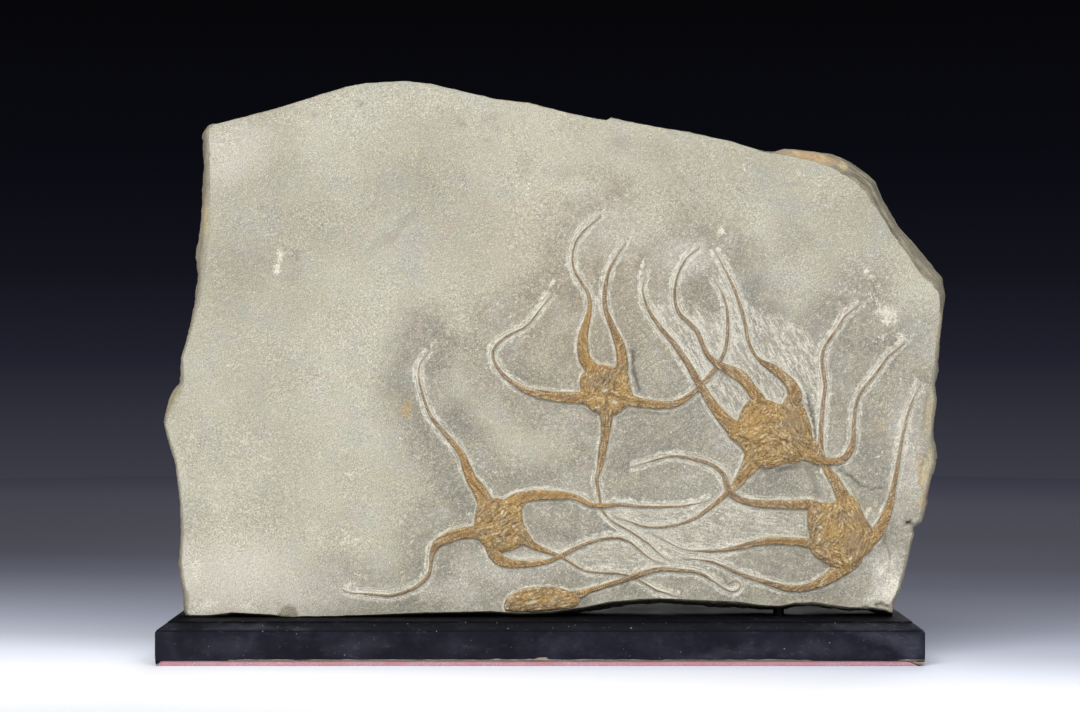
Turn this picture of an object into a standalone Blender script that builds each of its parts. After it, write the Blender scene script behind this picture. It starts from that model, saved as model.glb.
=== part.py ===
"""Brittle star fossils on a slab of siltstone that stands on a black display base.

Metres, +Z up. The origin is the middle of the underside of the felt. X runs along the base and +Y into it.
The worked face of the slab looks towards -Y. Lists of places on that face are in millimetres: x along the
base, z above the felt's underside.
"""
import math

import bmesh
import bpy
from mathutils import Matrix, Vector, noise

MM = 0.001
GAP = 0.3 * MM                    # left between pieces that touch

# Display base
BASE_LENGTH = 330 * MM
BASE_DEPTH = 86 * MM
BASE_TOP = 18.7 * MM              # board and felt together: three-quarter inch stock
BASE_CORNER = 1.5 * MM            # radius of the board's upright corners
FELT_THICKNESS = 2.2 * MM
FELT_LEFT = -163.4 * MM
FELT_RIGHT = 161.6 * MM
FELT_SLANT_LEFT = 2.0 * MM        # how far each end of the felt leans in from bottom to top
FELT_SLANT_RIGHT = 5.6 * MM
FELT_MARGIN = 1.0 * MM            # felt stops this far inside the board's front and back
TOE_LENGTH_RIGHT = 8.5 * MM       # the board comes down beside the felt at its ends
TOE_LENGTH_LEFT = 3.0 * MM
TOE_BOTTOM = 0.4 * MM
TOE_MARGIN = 0.9 * MM             # toes stop this far inside the board's front and back
TOE_FLAT = 0.36                   # share of a toe's length that its flat underside reaches in

# Board from its underside up: how far each line stands in from the board's edge, and its height, in mm
BOARD_PROFILE = [(0.7, 2.5), (0.0, 3.4), (0.0, 14.5), (0.25, 14.95), (2.4, 16.6), (4.3, 17.7), (4.6, 17.95),
                 (4.6, 18.45), (4.9, 18.7)]

# Slab
FACE_Y = -24 * MM                 # plane of the worked face
SLAB_FOOT = BASE_TOP + GAP        # nothing of the slab reaches lower

# Pins that hold the slab
PIN_RADIUS = 2.5 * MM
PIN_SPREAD = 105 * MM             # each pin's distance from the middle
PIN_Y = -16 * MM
PIN_BOTTOM = 10 * MM
PIN_TOP = 34 * MM
PIN_SIDES = 20

# Fossils
STAR_BACK = 0.3                   # mm from the slab's face to a star's flat back
ARM_BACK = 0.34                   # arms start a hair further out, so that no two backs share a plane
ARM_ROOT = 0.55                   # share of the way from an arm's first point to the disc's middle
ARM_THINNEST = 0.38               # mm: least half width
ARM_RISE = (0.55, 0.75, 2.3)      # height: mm at no width, mm for each mm of half width, and the most
UNDER_TOP = 0.85                  # mm: top of an arm where another star's arm crosses it
BRIDGE = 1.25                     # mm: underside of the arm that crosses
BRIDGE_THICKNESS = 0.9            # mm: least thickness of the arm there
BRIDGE_REACH = 3.3                # mm along each arm that stay so
BRIDGE_RAMP = 3.2                 # mm over which it comes back to the face
SPAN_PARTS = 12                   # points of an arm's curve for each point of its route
STATION_STEP = 0.8                # mm: closest two sections of an arm may be
BEND = math.radians(9)            # turn in a span that asks for a section at its middle
STAR_WELD = 0.02 * MM             # points of a star closer than this become one

# Half round section of an arm: place across it and rise, as shares of half width and height
ARM_SECTION = [(-1.0, 0.0), (-0.66, 0.78), (0.0, 1.0), (0.66, 0.78), (1.0, 0.0)]
# Dome of a disc: share of its outline's size and rise as a share of its height; the middle adds the mouth
DISC_SECTION = [(1.0, 0.0), (0.97, 0.5), (0.84, 0.86), (0.5, 1.0)]
MOUTH_SHARE = 0.18

# Slab outline, clockwise from the lower left corner: x, z, and the width of the broken bevel there
SLAB_OUTLINE = [
    (-155.6, 19.0, 2.6), (-156.0, 26.0, 2.8), (-156.9, 34.0, 1.6), (-157.4, 42.0, 1.0), (-156.7, 55.0, 1.0),
    (-157.4, 70.0, 0.8), (-159.2, 85.5, 0.8), (-162.3, 96.0, 0.8), (-164.3, 102.5, 0.8), (-164.0, 107.0, 1.6),
    (-162.0, 113.0, 3.6), (-160.2, 117.2, 3.4), (-157.3, 120.8, 1.8), (-156.8, 132.0, 0.9),
    (-154.7, 138.6, 0.9), (-152.6, 146.5, 1.2), (-151.0, 155.5, 2.2), (-149.7, 168.0, 3.2),
    (-150.4, 177.0, 4.8), (-148.7, 188.0, 4.6), (-147.9, 201.0, 3.7), (-147.0, 216.0, 2.8),
    (-147.5, 231.0, 2.8), (-145.4, 233.8, 2.2), (-142.6, 235.2, 1.2),
    (-129.0, 238.3, 0.9), (-115.5, 242.0, 1.0), (-102.5, 245.9, 0.9), (-85.0, 251.2, 0.8),
    (-76.0, 252.9, 0.8), (-59.0, 253.8, 0.8), (-48.0, 252.6, 0.8), (-33.0, 249.2, 0.9),
    (-19.5, 246.3, 1.2), (-4.5, 244.2, 0.9), (13.0, 239.8, 0.9), (25.5, 237.1, 0.9), (28.6, 237.1, 1.3),
    (31.2, 238.0, 1.2), (48.0, 234.6, 1.2), (65.5, 231.5, 1.0), (83.0, 227.6, 0.9), (96.0, 223.7, 0.9),
    (104.0, 222.2, 1.0), (108.0, 222.8, 2.2), (118.0, 221.9, 3.2), (128.5, 220.4, 4.8), (134.0, 218.4, 6.0),
    (139.5, 215.4, 6.0), (147.4, 209.4, 7.0), (150.6, 202.2, 5.6), (154.1, 196.9, 5.6),
    (158.1, 189.9, 5.2), (163.8, 183.9, 6.2), (168.7, 178.4, 7.4), (173.3, 172.4, 7.8), (178.0, 168.0, 7.6),
    (179.1, 159.5, 4.6), (176.9, 148.5, 2.2), (175.4, 137.5, 2.2), (173.7, 120.0, 3.0), (175.2, 112.7, 4.0),
    (173.3, 102.0, 3.4), (172.6, 96.0, 3.0), (174.3, 91.0, 4.4), (174.6, 85.5, 4.4), (172.0, 76.5, 4.0),
    (169.3, 65.2, 2.6), (167.6, 60.0, 2.0), (163.3, 58.0, 1.0), (163.7, 55.0, 1.2), (160.6, 41.0, 1.6),
    (158.0, 30.5, 1.8), (155.0, 24.5, 1.6), (154.4, 20.6, 1.2),
    (150.5, 22.1, 1.0), (145.0, 23.3, 1.0), (135.3, 23.7, 1.0), (128.7, 24.6, 1.2), (118.5, 25.7, 1.6),
    (111.3, 25.2, 1.2), (105.6, 24.0, 0.9), (96.0, 24.1, 1.0), (87.0, 24.8, 1.2), (70.0, 25.7, 1.0),
    (52.5, 26.6, 0.9), (43.5, 26.2, 0.9), (30.5, 25.1, 0.9), (19.5, 22.9, 0.9), (4.5, 20.8, 0.9),
    (-8.7, 20.4, 0.9), (-22.0, 21.5, 1.0), (-48.0, 21.2, 0.9), (-63.0, 20.6, 0.9), (-87.0, 19.6, 0.9),
    (-108.0, 19.2, 0.9), (-120.0, 20.2, 0.9), (-134.5, 21.0, 1.0), (-141.5, 19.7, 1.4), (-147.5, 19.0, 1.8),
]

# Sections of the slab from its face to its back: depth in mm, the share of the bevel left, a steady inset
# and how far the broken edge wanders, both in mm
SLAB_LAYERS = [
    (0.0, 1.0, 0.0, 0.0),
    (2.2, 0.55, -0.3, 0.2),
    (9.0, 0.0, -1.2, 0.4),
    (18.0, 0.0, -0.6, 1.4),
    (27.5, 0.0, 0.6, 1.3),
    (32.0, 0.0, 3.0, 0.8),
]
SLAB_ARRIS = 1.2                  # mm of every bevel that the first layer takes away
RAGGED_ALONG = 0.13               # waves of the broken edge for each mm along it and into the slab
RAGGED_DEEP = 0.21

# Each star: its disc's outline (x, z), the disc's height, how deep its mouth is sunk, and its arms as routes
# of (x, z, half width), from the disc to the tip
STARS = {
    "brittle_star_center": {
        "disc": [(22.7, 128.1), (28.8, 129.0), (33.4, 128.0), (38.4, 125.6), (39.2, 120.5), (41.0, 115.4),
                 (37.3, 110.4), (33.4, 107.4), (25.4, 107.8), (20.8, 110.6), (17.9, 113.0), (17.5, 119.0),
                 (17.7, 124.6)],
        "height": 2.7, "mouth": 1.2,
        "arms": [
            [(22.7, 127.7, 3.5), (19.6, 131.2, 3.1), (18.5, 138.6, 2.7), (19.6, 145.1, 2.0),
             (21.6, 152.5, 1.2), (21.2, 160.0, 0.9), (18.8, 163.9, 0.8), (15.7, 168.7, 0.6),
             (14.1, 174.8, 0.5), (15.3, 182.2, 0.45), (18.8, 187.4, 0.45), (26.6, 194.9, 0.4)],
            [(35.8, 127.7, 3.1), (35.6, 133.3, 2.7), (34.7, 138.1, 2.5), (31.4, 146.0, 1.7),
             (28.8, 152.5, 1.2), (28.1, 158.6, 1.1), (29.2, 166.9, 0.9), (31.0, 172.2, 0.6),
             (34.5, 178.7, 0.45), (37.5, 183.1, 0.4)],
            [(21.8, 115.0, 3.5), (15.3, 114.6, 3.0), (7.9, 115.0, 2.8), (1.3, 116.0, 2.4),
             (-5.2, 117.5, 1.8), (-11.3, 120.9, 1.2), (-16.6, 125.3, 0.9), (-20.1, 130.7, 0.75),
             (-20.6, 134.9, 0.7), (-18.3, 138.8, 0.6), (-13.1, 142.5, 0.5), (-7.0, 145.3, 0.45),
             (-2.2, 150.4, 0.4), (5.7, 160.8, 0.4)],
            [(38.4, 113.3, 2.8), (45.8, 112.2, 2.4), (52.4, 111.5, 2.1), (58.9, 112.0, 1.9),
             (63.7, 114.4, 1.5), (68.9, 118.7, 1.3), (74.2, 124.4, 1.3), (78.1, 129.8, 1.2),
             (81.2, 136.8, 0.9), (82.0, 145.1, 0.8), (81.6, 153.8, 0.7), (79.4, 161.0, 0.55),
             (75.9, 167.4, 0.4)],
            [(29.2, 108.5, 3.5), (28.9, 103.2, 2.7), (28.4, 98.0, 2.1), (27.3, 91.9, 2.1),
             (26.6, 87.5, 1.8), (26.0, 83.6, 1.3), (24.7, 79.7, 0.95), (25.3, 75.3, 0.8), (26.2, 70.1, 0.7),
             (27.3, 65.7, 0.55), (31.4, 60.9, 0.5), (39.3, 56.5, 0.45), (47.1, 51.3, 0.45),
             (52.8, 46.1, 0.4), (57.2, 43.5, 0.4)],
        ],
    },
    "brittle_star_left": {
        "disc": [(-24.0, 70.5), (-15.3, 70.6), (-11.8, 69.2), (-8.0, 65.3), (-7.0, 59.2), (-3.9, 53.6),
                 (-8.7, 49.6), (-14.0, 47.4), (-20.9, 47.8), (-25.7, 50.9), (-28.8, 56.5), (-28.4, 63.1),
                 (-27.3, 68.0)],
        "height": 3.0, "mouth": 0.5,
        "arms": [
            [(-24.4, 70.1, 3.9), (-26.6, 74.4, 3.5), (-30.1, 79.2, 2.7), (-32.3, 84.9, 2.3),
             (-34.0, 89.7, 1.7), (-37.5, 94.3, 1.4), (-42.8, 100.6, 1.1), (-47.1, 105.6, 0.9),
             (-49.7, 111.1, 0.8), (-51.7, 117.4, 0.6), (-53.1, 124.6, 0.5), (-52.4, 129.8, 0.45),
             (-48.4, 135.5, 0.4)],
            [(-12.2, 68.8, 3.9), (-6.5, 71.4, 3.1), (0.0, 72.2, 2.7), (7.0, 72.2, 2.3), (14.0, 71.7, 1.65),
             (18.8, 69.6, 1.4), (22.7, 67.9, 1.1), (27.9, 67.6, 1.0), (35.8, 68.1, 0.85), (43.6, 67.2, 0.7),
             (52.4, 67.0, 0.6), (62.0, 67.3, 0.5), (69.8, 68.8, 0.45), (75.1, 70.7, 0.4)],
            [(-24.0, 55.7, 3.9), (-30.5, 55.9, 3.1), (-36.2, 55.0, 3.0), (-41.5, 53.0, 2.6),
             (-45.2, 50.4, 2.2), (-47.2, 46.3, 1.3), (-47.6, 42.1, 0.9), (-48.7, 37.3, 0.9),
             (-52.8, 33.0, 0.85), (-58.9, 29.9, 0.8), (-66.3, 28.2, 0.65), (-74.2, 29.0, 0.5),
             (-82.0, 29.5, 0.45), (-86.4, 30.8, 0.4)],
            [(-7.4, 53.4, 3.1), (-3.5, 50.4, 2.2), (0.4, 48.6, 1.4), (5.2, 46.9, 1.0), (9.6, 45.2, 0.8),
             (14.0, 42.6, 0.6), (18.8, 39.7, 0.5), (25.3, 38.4, 0.5), (34.0, 38.0, 0.45),
             (40.1, 36.7, 0.45), (44.1, 34.7, 0.45), (50.6, 30.8, 0.45), (60.7, 27.9, 0.4)],
            [(-20.9, 49.1, 3.5), (-18.3, 44.3, 3.0), (-14.0, 42.6, 2.4), (-7.9, 42.0, 1.8),
             (-1.3, 42.4, 1.5), (4.4, 43.4, 1.2), (9.6, 45.9, 1.1), (15.3, 48.9, 0.95), (21.8, 51.6, 0.85),
             (28.8, 53.3, 0.7), (34.9, 53.4, 0.6), (40.1, 51.3, 0.5), (44.9, 46.9, 0.5), (49.7, 43.7, 0.45),
             (54.1, 42.4, 0.4)],
        ],
    },
    "brittle_star_upper_right": {
        "disc": [(89.9, 112.8), (93.8, 114.6), (100.4, 113.7), (106.5, 111.5), (112.6, 112.4),
                 (116.5, 108.0), (118.7, 101.5), (119.1, 95.4), (116.1, 89.7), (108.2, 86.2), (99.5, 83.6),
                 (92.5, 85.3), (88.1, 91.9), (85.5, 98.9), (86.8, 106.7)],
        "height": 3.6, "mouth": 0.0,
        "arms": [
            [(87.3, 98.4, 5.2), (84.2, 101.5, 4.0), (80.3, 105.4, 3.3), (77.5, 108.7, 2.7),
             (75.1, 112.0, 2.4), (72.4, 116.3, 2.1), (69.4, 121.1, 1.9), (64.1, 130.3, 1.6),
             (58.5, 138.4, 1.35), (53.2, 144.5, 1.1), (48.9, 150.4, 0.9), (46.3, 155.8, 0.65),
             (44.8, 162.1, 0.45), (45.8, 170.4, 0.4)],
            [(94.5, 115.7, 3.3), (92.5, 118.1, 2.8), (89.9, 121.8, 3.0), (86.4, 124.8, 3.2),
             (82.3, 126.8, 2.5), (78.3, 128.8, 1.9), (74.8, 131.6, 1.4), (72.4, 134.6, 1.25),
             (70.7, 138.6, 1.15), (68.9, 143.2, 1.15), (65.5, 147.1, 1.1), (61.3, 150.8, 1.0),
             (59.2, 155.6, 0.8), (58.9, 162.1, 0.65), (60.2, 168.7, 0.5), (64.1, 175.9, 0.45),
             (69.8, 180.9, 0.4)],
            [(111.3, 114.6, 3.8), (110.8, 117.6, 3.5), (108.9, 121.3, 2.8), (104.9, 125.0, 2.3),
             (101.2, 127.9, 2.1), (98.0, 129.6, 1.6), (95.4, 131.6, 0.9), (92.9, 134.9, 0.85),
             (90.8, 139.9, 0.9), (89.7, 146.4, 0.9), (88.1, 153.0, 0.9), (85.1, 161.7, 0.75),
             (81.2, 170.0, 0.55), (75.9, 180.0, 0.4)],
            [(113.5, 91.0, 3.5), (118.7, 88.6, 2.75), (123.9, 87.2, 2.1), (130.0, 87.1, 1.75),
             (133.5, 88.6, 1.8), (135.7, 92.3, 1.8), (136.9, 96.7, 1.2), (137.1, 102.8, 0.9),
             (137.5, 109.3, 0.8), (139.6, 116.3, 0.7), (143.1, 121.1, 0.65), (147.5, 126.4, 0.6),
             (151.9, 132.9, 0.45), (159.3, 139.4, 0.4)],
            [(93.8, 88.4, 5.2), (89.9, 82.7, 3.35), (86.0, 77.0, 2.4), (82.5, 73.6, 1.75),
             (79.0, 70.5, 1.3), (74.6, 67.0, 1.1), (70.3, 63.7, 0.95), (64.6, 60.7, 0.8),
             (56.7, 58.7, 0.65), (50.2, 58.1, 0.55), (44.1, 58.8, 0.5), (38.0, 61.1, 0.45),
             (32.3, 63.1, 0.4)],
        ],
    },
    "brittle_star_lower_right": {
        "disc": [(118.7, 69.2), (126.5, 68.8), (134.4, 70.1), (139.2, 67.9), (142.2, 62.2), (145.7, 56.1),
                 (144.0, 50.4), (140.5, 44.3), (137.0, 40.2), (130.9, 39.5), (123.9, 42.6), (118.3, 46.9),
                 (117.4, 54.8), (116.5, 62.2)],
        "height": 3.8, "mouth": 0.0,
        "arms": [
            [(120.0, 67.9, 2.6), (112.6, 67.9, 2.4), (104.7, 68.1, 2.2), (97.3, 68.2, 2.05),
             (91.6, 68.9, 1.8), (87.3, 70.3, 1.65), (83.3, 72.9, 1.6), (81.6, 76.6, 1.4), (80.1, 81.2, 1.2),
             (75.9, 84.9, 0.95), (69.8, 87.4, 0.85), (63.7, 88.8, 0.65), (56.7, 89.3, 0.55),
             (50.2, 87.5, 0.45), (39.3, 84.5, 0.4)],
            [(120.0, 50.9, 2.6), (112.6, 51.8, 2.15), (105.6, 52.2, 2.0), (99.5, 52.2, 1.9),
             (92.5, 50.9, 1.6), (86.4, 49.3, 1.3), (80.7, 48.2, 0.9), (73.3, 47.7, 0.7), (65.5, 48.0, 0.6),
             (59.8, 49.6, 0.5), (54.1, 52.8, 0.4), (48.9, 55.7, 0.4)],
            [(135.3, 43.0, 4.4), (130.0, 38.6, 3.5), (125.2, 35.4, 3.0), (119.6, 32.8, 2.1),
             (113.5, 31.4, 1.75), (106.9, 31.7, 1.6), (100.4, 33.6, 1.3), (93.8, 35.6, 1.05),
             (87.3, 37.8, 0.8), (81.2, 40.7, 0.7), (75.5, 43.0, 0.55), (68.9, 44.1, 0.45),
             (62.0, 44.8, 0.4)],
            [(143.1, 52.6, 3.9), (146.6, 55.2, 3.5), (149.5, 59.6, 2.8), (151.6, 64.4, 2.4),
             (153.2, 69.6, 1.8), (154.3, 74.9, 1.25), (155.8, 82.3, 1.05), (156.9, 89.3, 0.85),
             (158.2, 97.1, 0.7), (159.7, 104.1, 0.6), (161.7, 111.1, 0.5), (166.3, 122.0, 0.4)],
            [(132.8, 70.1, 3.9), (130.7, 74.4, 3.1), (128.7, 78.8, 2.6), (125.7, 82.7, 2.2),
             (123.9, 87.1, 1.75), (122.7, 91.9, 1.5), (122.6, 97.1, 1.2), (122.9, 104.1, 1.1),
             (123.7, 112.8, 0.95), (124.7, 120.2, 0.9), (123.4, 128.1, 0.9), (123.3, 133.8, 0.8),
             (125.2, 138.6, 0.7), (128.9, 143.8, 0.55), (133.1, 150.4, 0.45), (140.5, 156.9, 0.4)],
        ],
    },
    "brittle_star_bottom_edge": {
        "disc": [(-15.7, 21.9), (-15.3, 26.4), (-12.2, 29.0), (-6.5, 31.2), (0.0, 32.1), (7.0, 32.1),
                 (12.2, 30.6), (16.6, 29.0), (17.9, 25.8), (15.3, 23.4), (8.7, 22.2), (-2.2, 21.4)],
        "height": 2.5, "mouth": 0.0,
        "arms": [
            [(10.9, 27.3, 3.05), (16.6, 28.4, 2.4), (21.8, 30.6, 1.35), (27.9, 32.3, 1.2),
             (34.0, 34.3, 1.15), (40.1, 36.5, 1.25), (46.3, 38.4, 1.3), (53.2, 40.0, 1.15),
             (59.8, 39.5, 0.9), (66.3, 39.0, 0.8), (71.6, 37.4, 0.75), (76.8, 34.1, 0.7), (81.2, 31.2, 0.7),
             (84.2, 30.2, 0.7), (86.8, 31.3, 0.65), (87.4, 33.4, 0.6), (85.7, 35.2, 0.5),
             (83.6, 34.9, 0.45), (82.5, 33.5, 0.4)],
        ],
    },
}

# Where an arm lies over another star's arm: upper star and arm, lower star and arm, place (x, z)
CROSSINGS = [
    ("brittle_star_upper_right", 0, "brittle_star_center", 3, (70.3, 119.9)),
    ("brittle_star_upper_right", 1, "brittle_star_center", 3, (77.9, 129.2)),
    ("brittle_star_left", 1, "brittle_star_center", 4, (26.8, 67.7)),
    ("brittle_star_bottom_edge", 0, "brittle_star_left", 3, (40.2, 36.6)),
    ("brittle_star_upper_right", 3, "brittle_star_lower_right", 4, (123.9, 87.2)),
    ("brittle_star_lower_right", 0, "brittle_star_upper_right", 4, (82.7, 73.8)),
]

# Finishes: colour, roughness, metallic
FINISHES = {
    "siltstone": ((0.48, 0.45, 0.36), 0.9, 0.0),
    "limonite": ((0.42, 0.24, 0.07), 0.8, 0.0),
    "black_paint": ((0.012, 0.013, 0.018), 0.35, 0.0),
    "pink_felt": ((0.62, 0.28, 0.32), 0.95, 0.0),
    "blackened_steel": ((0.02, 0.02, 0.02), 0.45, 1.0),
}


def clear_scene():
    for item in list(bpy.data.objects):
        bpy.data.objects.remove(item, do_unlink=True)


def finish(name):
    """The named finish as a material, made once."""
    material = bpy.data.materials.get(name) or bpy.data.materials.new(name)
    colour, roughness, metallic = FINISHES[name]
    material.use_nodes = True
    shader = material.node_tree.nodes["Principled BSDF"]
    shader.inputs["Base Color"].default_value = (*colour, 1)
    shader.inputs["Roughness"].default_value = roughness
    shader.inputs["Metallic"].default_value = metallic
    return material


def make_object(name, shape, material=None):
    """Turn a bmesh into an object of the scene, its faces looking out."""
    bmesh.ops.recalc_face_normals(shape, faces=shape.faces)
    mesh = bpy.data.meshes.new(name)
    shape.to_mesh(mesh)
    shape.free()
    item = bpy.data.objects.new(name, mesh)
    bpy.context.collection.objects.link(item)
    if material:
        mesh.materials.append(finish(material))
    return item


def loft(shape, rings):
    """Skin closed rings of equal length in order, and cap both ends."""
    loops = [[shape.verts.new(point) for point in ring] for ring in rings]
    for near, far in zip(loops, loops[1:]):
        for i in range(len(near)):
            j = (i + 1) % len(near)
            shape.faces.new((near[i], near[j], far[j], far[i]))
    shape.faces.new(loops[0])
    shape.faces.new(loops[-1][::-1])


def combine(body, tool, operation):
    """Add or take away the tool's solid, and drop the tool."""
    change = body.modifiers.new("combine", "BOOLEAN")
    change.operation = operation
    change.object = tool
    change.use_self = operation == "UNION"
    view = bpy.context.evaluated_depsgraph_get()
    result = bpy.data.meshes.new_from_object(body.evaluated_get(view))
    body.modifiers.clear()
    body.data = result
    bpy.data.objects.remove(tool, do_unlink=True)


def weld(body, distance):
    """Close the slivers that a union leaves."""
    shape = bmesh.new()
    shape.from_mesh(body.data)
    bmesh.ops.remove_doubles(shape, verts=shape.verts, dist=distance)
    bmesh.ops.dissolve_degenerate(shape, edges=shape.edges, dist=distance / 2)
    shape.to_mesh(body.data)
    shape.free()


def shade(body, degrees):
    body.data.shade_smooth()
    body.data.set_sharp_from_angle(angle=math.radians(degrees))


# ---------------------------------------------------------------- display base

def rounded_rectangle(left, right, front, back, radius, z, corner_steps=3):
    """Ring of points round a rectangle with round corners, at height z."""
    ring = []
    centres = ((right - radius, back - radius, 0), (left + radius, back - radius, 90),
               (left + radius, front + radius, 180), (right - radius, front + radius, 270))
    for x, y, start in centres:
        for step in range(corner_steps + 1):
            turn = Matrix.Rotation(math.radians(start + 90 * step / corner_steps), 2)
            offset = turn @ Vector((radius, 0))
            ring.append((x + offset.x, y + offset.y, z))
    return ring


def board_ring(inset, z):
    half_length, half_depth = BASE_LENGTH / 2 - inset, BASE_DEPTH / 2 - inset
    return rounded_rectangle(-half_length, half_length, -half_depth, half_depth, BASE_CORNER, z)


def make_board():
    """Black board: upright sides, a moulded slope and a small fillet under the flat top."""
    shape = bmesh.new()
    loft(shape, [board_ring(inset * MM, z * MM) for inset, z in BOARD_PROFILE])
    board = make_object("base_board", shape, "black_paint")
    for side, length in ((1, TOE_LENGTH_RIGHT), (-1, TOE_LENGTH_LEFT)):
        combine(board, make_toe(side, length), "UNION")
    for side in (1, -1):
        combine(board, bore(side), "DIFFERENCE")
    shade(board, 25)
    return board


def make_toe(side, length):
    """Wedge at one end of the board's underside that comes down beside the felt."""
    end = BASE_LENGTH / 2
    board_bottom = BOARD_PROFILE[0][1] * MM
    section = [(end - length, board_bottom), (end - length, board_bottom + 1 * MM),
               (end - 0.2 * MM, BOARD_PROFILE[1][1] * MM), (end - 0.2 * MM, TOE_BOTTOM + 1 * MM),
               (end - 1 * MM, TOE_BOTTOM), (end - length * TOE_FLAT, TOE_BOTTOM)]
    reach = BASE_DEPTH / 2 - TOE_MARGIN
    shape = bmesh.new()
    loft(shape, [[(side * x, y, z) for x, z in section] for y in (-reach, reach)])
    return make_object("toe", shape)


def make_felt():
    """Pink felt with slanting ends, clear of the board's toes."""
    depth = BASE_DEPTH / 2 - FELT_MARGIN
    shape = bmesh.new()
    loft(shape, [rounded_rectangle(FELT_LEFT + share * FELT_SLANT_LEFT, FELT_RIGHT - share * FELT_SLANT_RIGHT,
                                   -depth, depth, BASE_CORNER, share * FELT_THICKNESS) for share in (0, 1)])
    return make_object("felt_underlay", shape, "pink_felt")


# ---------------------------------------------------------------- slab and its pins

def upright_cylinder(name, x, radius, bottom, top, material=None):
    shape = bmesh.new()
    bmesh.ops.create_cone(shape, cap_ends=True, segments=PIN_SIDES, radius1=radius, radius2=radius,
                          depth=top - bottom, matrix=Matrix.Translation((x, PIN_Y, (bottom + top) / 2)))
    return make_object(name, shape, material)


def bore(side):
    """Cutter for the blind holes that one pin stands in."""
    return upright_cylinder("bore", side * PIN_SPREAD, PIN_RADIUS + GAP, PIN_BOTTOM - GAP, PIN_TOP + GAP)


def make_pin(side, name):
    pin = upright_cylinder(name, side * PIN_SPREAD, PIN_RADIUS, PIN_BOTTOM, PIN_TOP, "blackened_steel")
    shade(pin, 40)
    return pin


def inward(points, i):
    """Unit vector at point i of a clockwise outline, square to its neighbours' line and into the shape."""
    run = points[(i + 1) % len(points)] - points[i - 1]
    return Vector((run.y, -run.x)).normalized()


def make_slab():
    """Slab with a flat worked face, broken bevels, ragged sides and a smaller back."""
    points = [Vector((x, z)) for x, z, _ in SLAB_OUTLINE]
    rings = []
    for depth, bevel_share, steady, wander in SLAB_LAYERS:
        ring = []
        for i, (x, z, bevel) in enumerate(SLAB_OUTLINE):
            inset = bevel if depth == 0 else max(0.0, bevel - SLAB_ARRIS) * bevel_share
            ragged = wander * noise.noise(Vector((x * RAGGED_ALONG, z * RAGGED_ALONG, depth * RAGGED_DEEP)))
            spot = points[i] + inward(points, i) * (inset + steady + ragged)
            ring.append((spot.x * MM, FACE_Y + depth * MM, max(spot.y * MM, SLAB_FOOT)))
        rings.append(ring)
    shape = bmesh.new()
    loft(shape, rings)
    slab = make_object("stone_slab", shape, "siltstone")
    for side in (1, -1):
        combine(slab, bore(side), "DIFFERENCE")
    return slab


# ---------------------------------------------------------------- fossils

def on_face(x, z, height):
    """Point of the worked face at x, z, raised by height; all in mm."""
    return (x * MM, FACE_Y - height * MM, z * MM)


def smooth_through(points, parts, closed=False):
    """Points of a smooth curve through the given ones, each span in so many parts."""
    last = len(points)
    if closed:
        points = [points[-1]] + points + points[:2]
        first, last = 1, last + 1
    else:
        points = [2 * points[0] - points[1]] + points + [2 * points[-1] - points[-2]]
        first = 1
    curve = []
    for i in range(first, last):
        before, start, end, after = points[i - 1:i + 3]
        span = (end - start).length
        lead_in = (end - before) * span / ((start - before).length + span)
        lead_out = (after - start) * span / ((after - end).length + span)
        for step in range(parts):
            t = step / parts
            curve.append(start * (1 + 2 * t) * (1 - t) ** 2 + end * (3 - 2 * t) * t ** 2
                         + lead_in * t * (1 - t) ** 2 - lead_out * (1 - t) * t ** 2)
    if not closed:
        curve.append(points[-2])
    return curve


def make_disc(name, outline, height, mouth):
    """Low dome on the disc's outline, sunk in the middle by the mouth's depth."""
    rim = smooth_through([Vector(point) for point in outline], 2, closed=True)
    centre = sum(rim, Vector((0, 0))) / len(rim)
    shape = bmesh.new()
    rings = []
    for share, rise in DISC_SECTION + [(MOUTH_SHARE, 1.0 - mouth / height)]:
        level = STAR_BACK + (height - STAR_BACK) * rise
        rings.append([on_face(*centre.lerp(point, share), level) for point in rim])
    loft(shape, rings)
    return make_object(name, shape, "limonite"), centre


def arm_height(half_width):
    least, slope, most = ARM_RISE
    return min(most, least + slope * half_width)


def near_crossing(distance):
    """1 in the reach of a crossing, easing to 0 over the ramp."""
    share = min(1.0, max(0.0, (distance - BRIDGE_REACH) / BRIDGE_RAMP))
    return 1 - share * share * (3 - 2 * share)


def arm_stations(route, lengths, crossings):
    """Indices of the sections: at crossings first, then at the route's points and in its bends."""
    wanted = []
    reach = BRIDGE_REACH + BRIDGE_RAMP
    for middle, _ in crossings:
        wanted += [middle + offset for offset in (-reach, -(reach + BRIDGE_REACH) / 2, -BRIDGE_REACH, 0,
                                                  BRIDGE_REACH, (reach + BRIDGE_REACH) / 2, reach)]
    chosen = sorted({min(range(len(route)), key=lambda i: abs(lengths[i] - mark)) for mark in wanted})
    extra = list(range(0, len(route), SPAN_PARTS))
    for start in range(0, len(route) - 1, SPAN_PARTS):
        lead_in = (route[start + 1] - route[start]).xy
        lead_out = (route[start + SPAN_PARTS] - route[start + SPAN_PARTS - 1]).xy
        if abs(lead_in.angle_signed(lead_out)) > BEND:
            extra.append(start + SPAN_PARTS // 2)
    for i in extra:
        if all(abs(lengths[i] - lengths[j]) >= STATION_STEP for j in chosen):
            chosen.append(i)
    return sorted(set(chosen) | {0, len(route) - 1})


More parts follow.
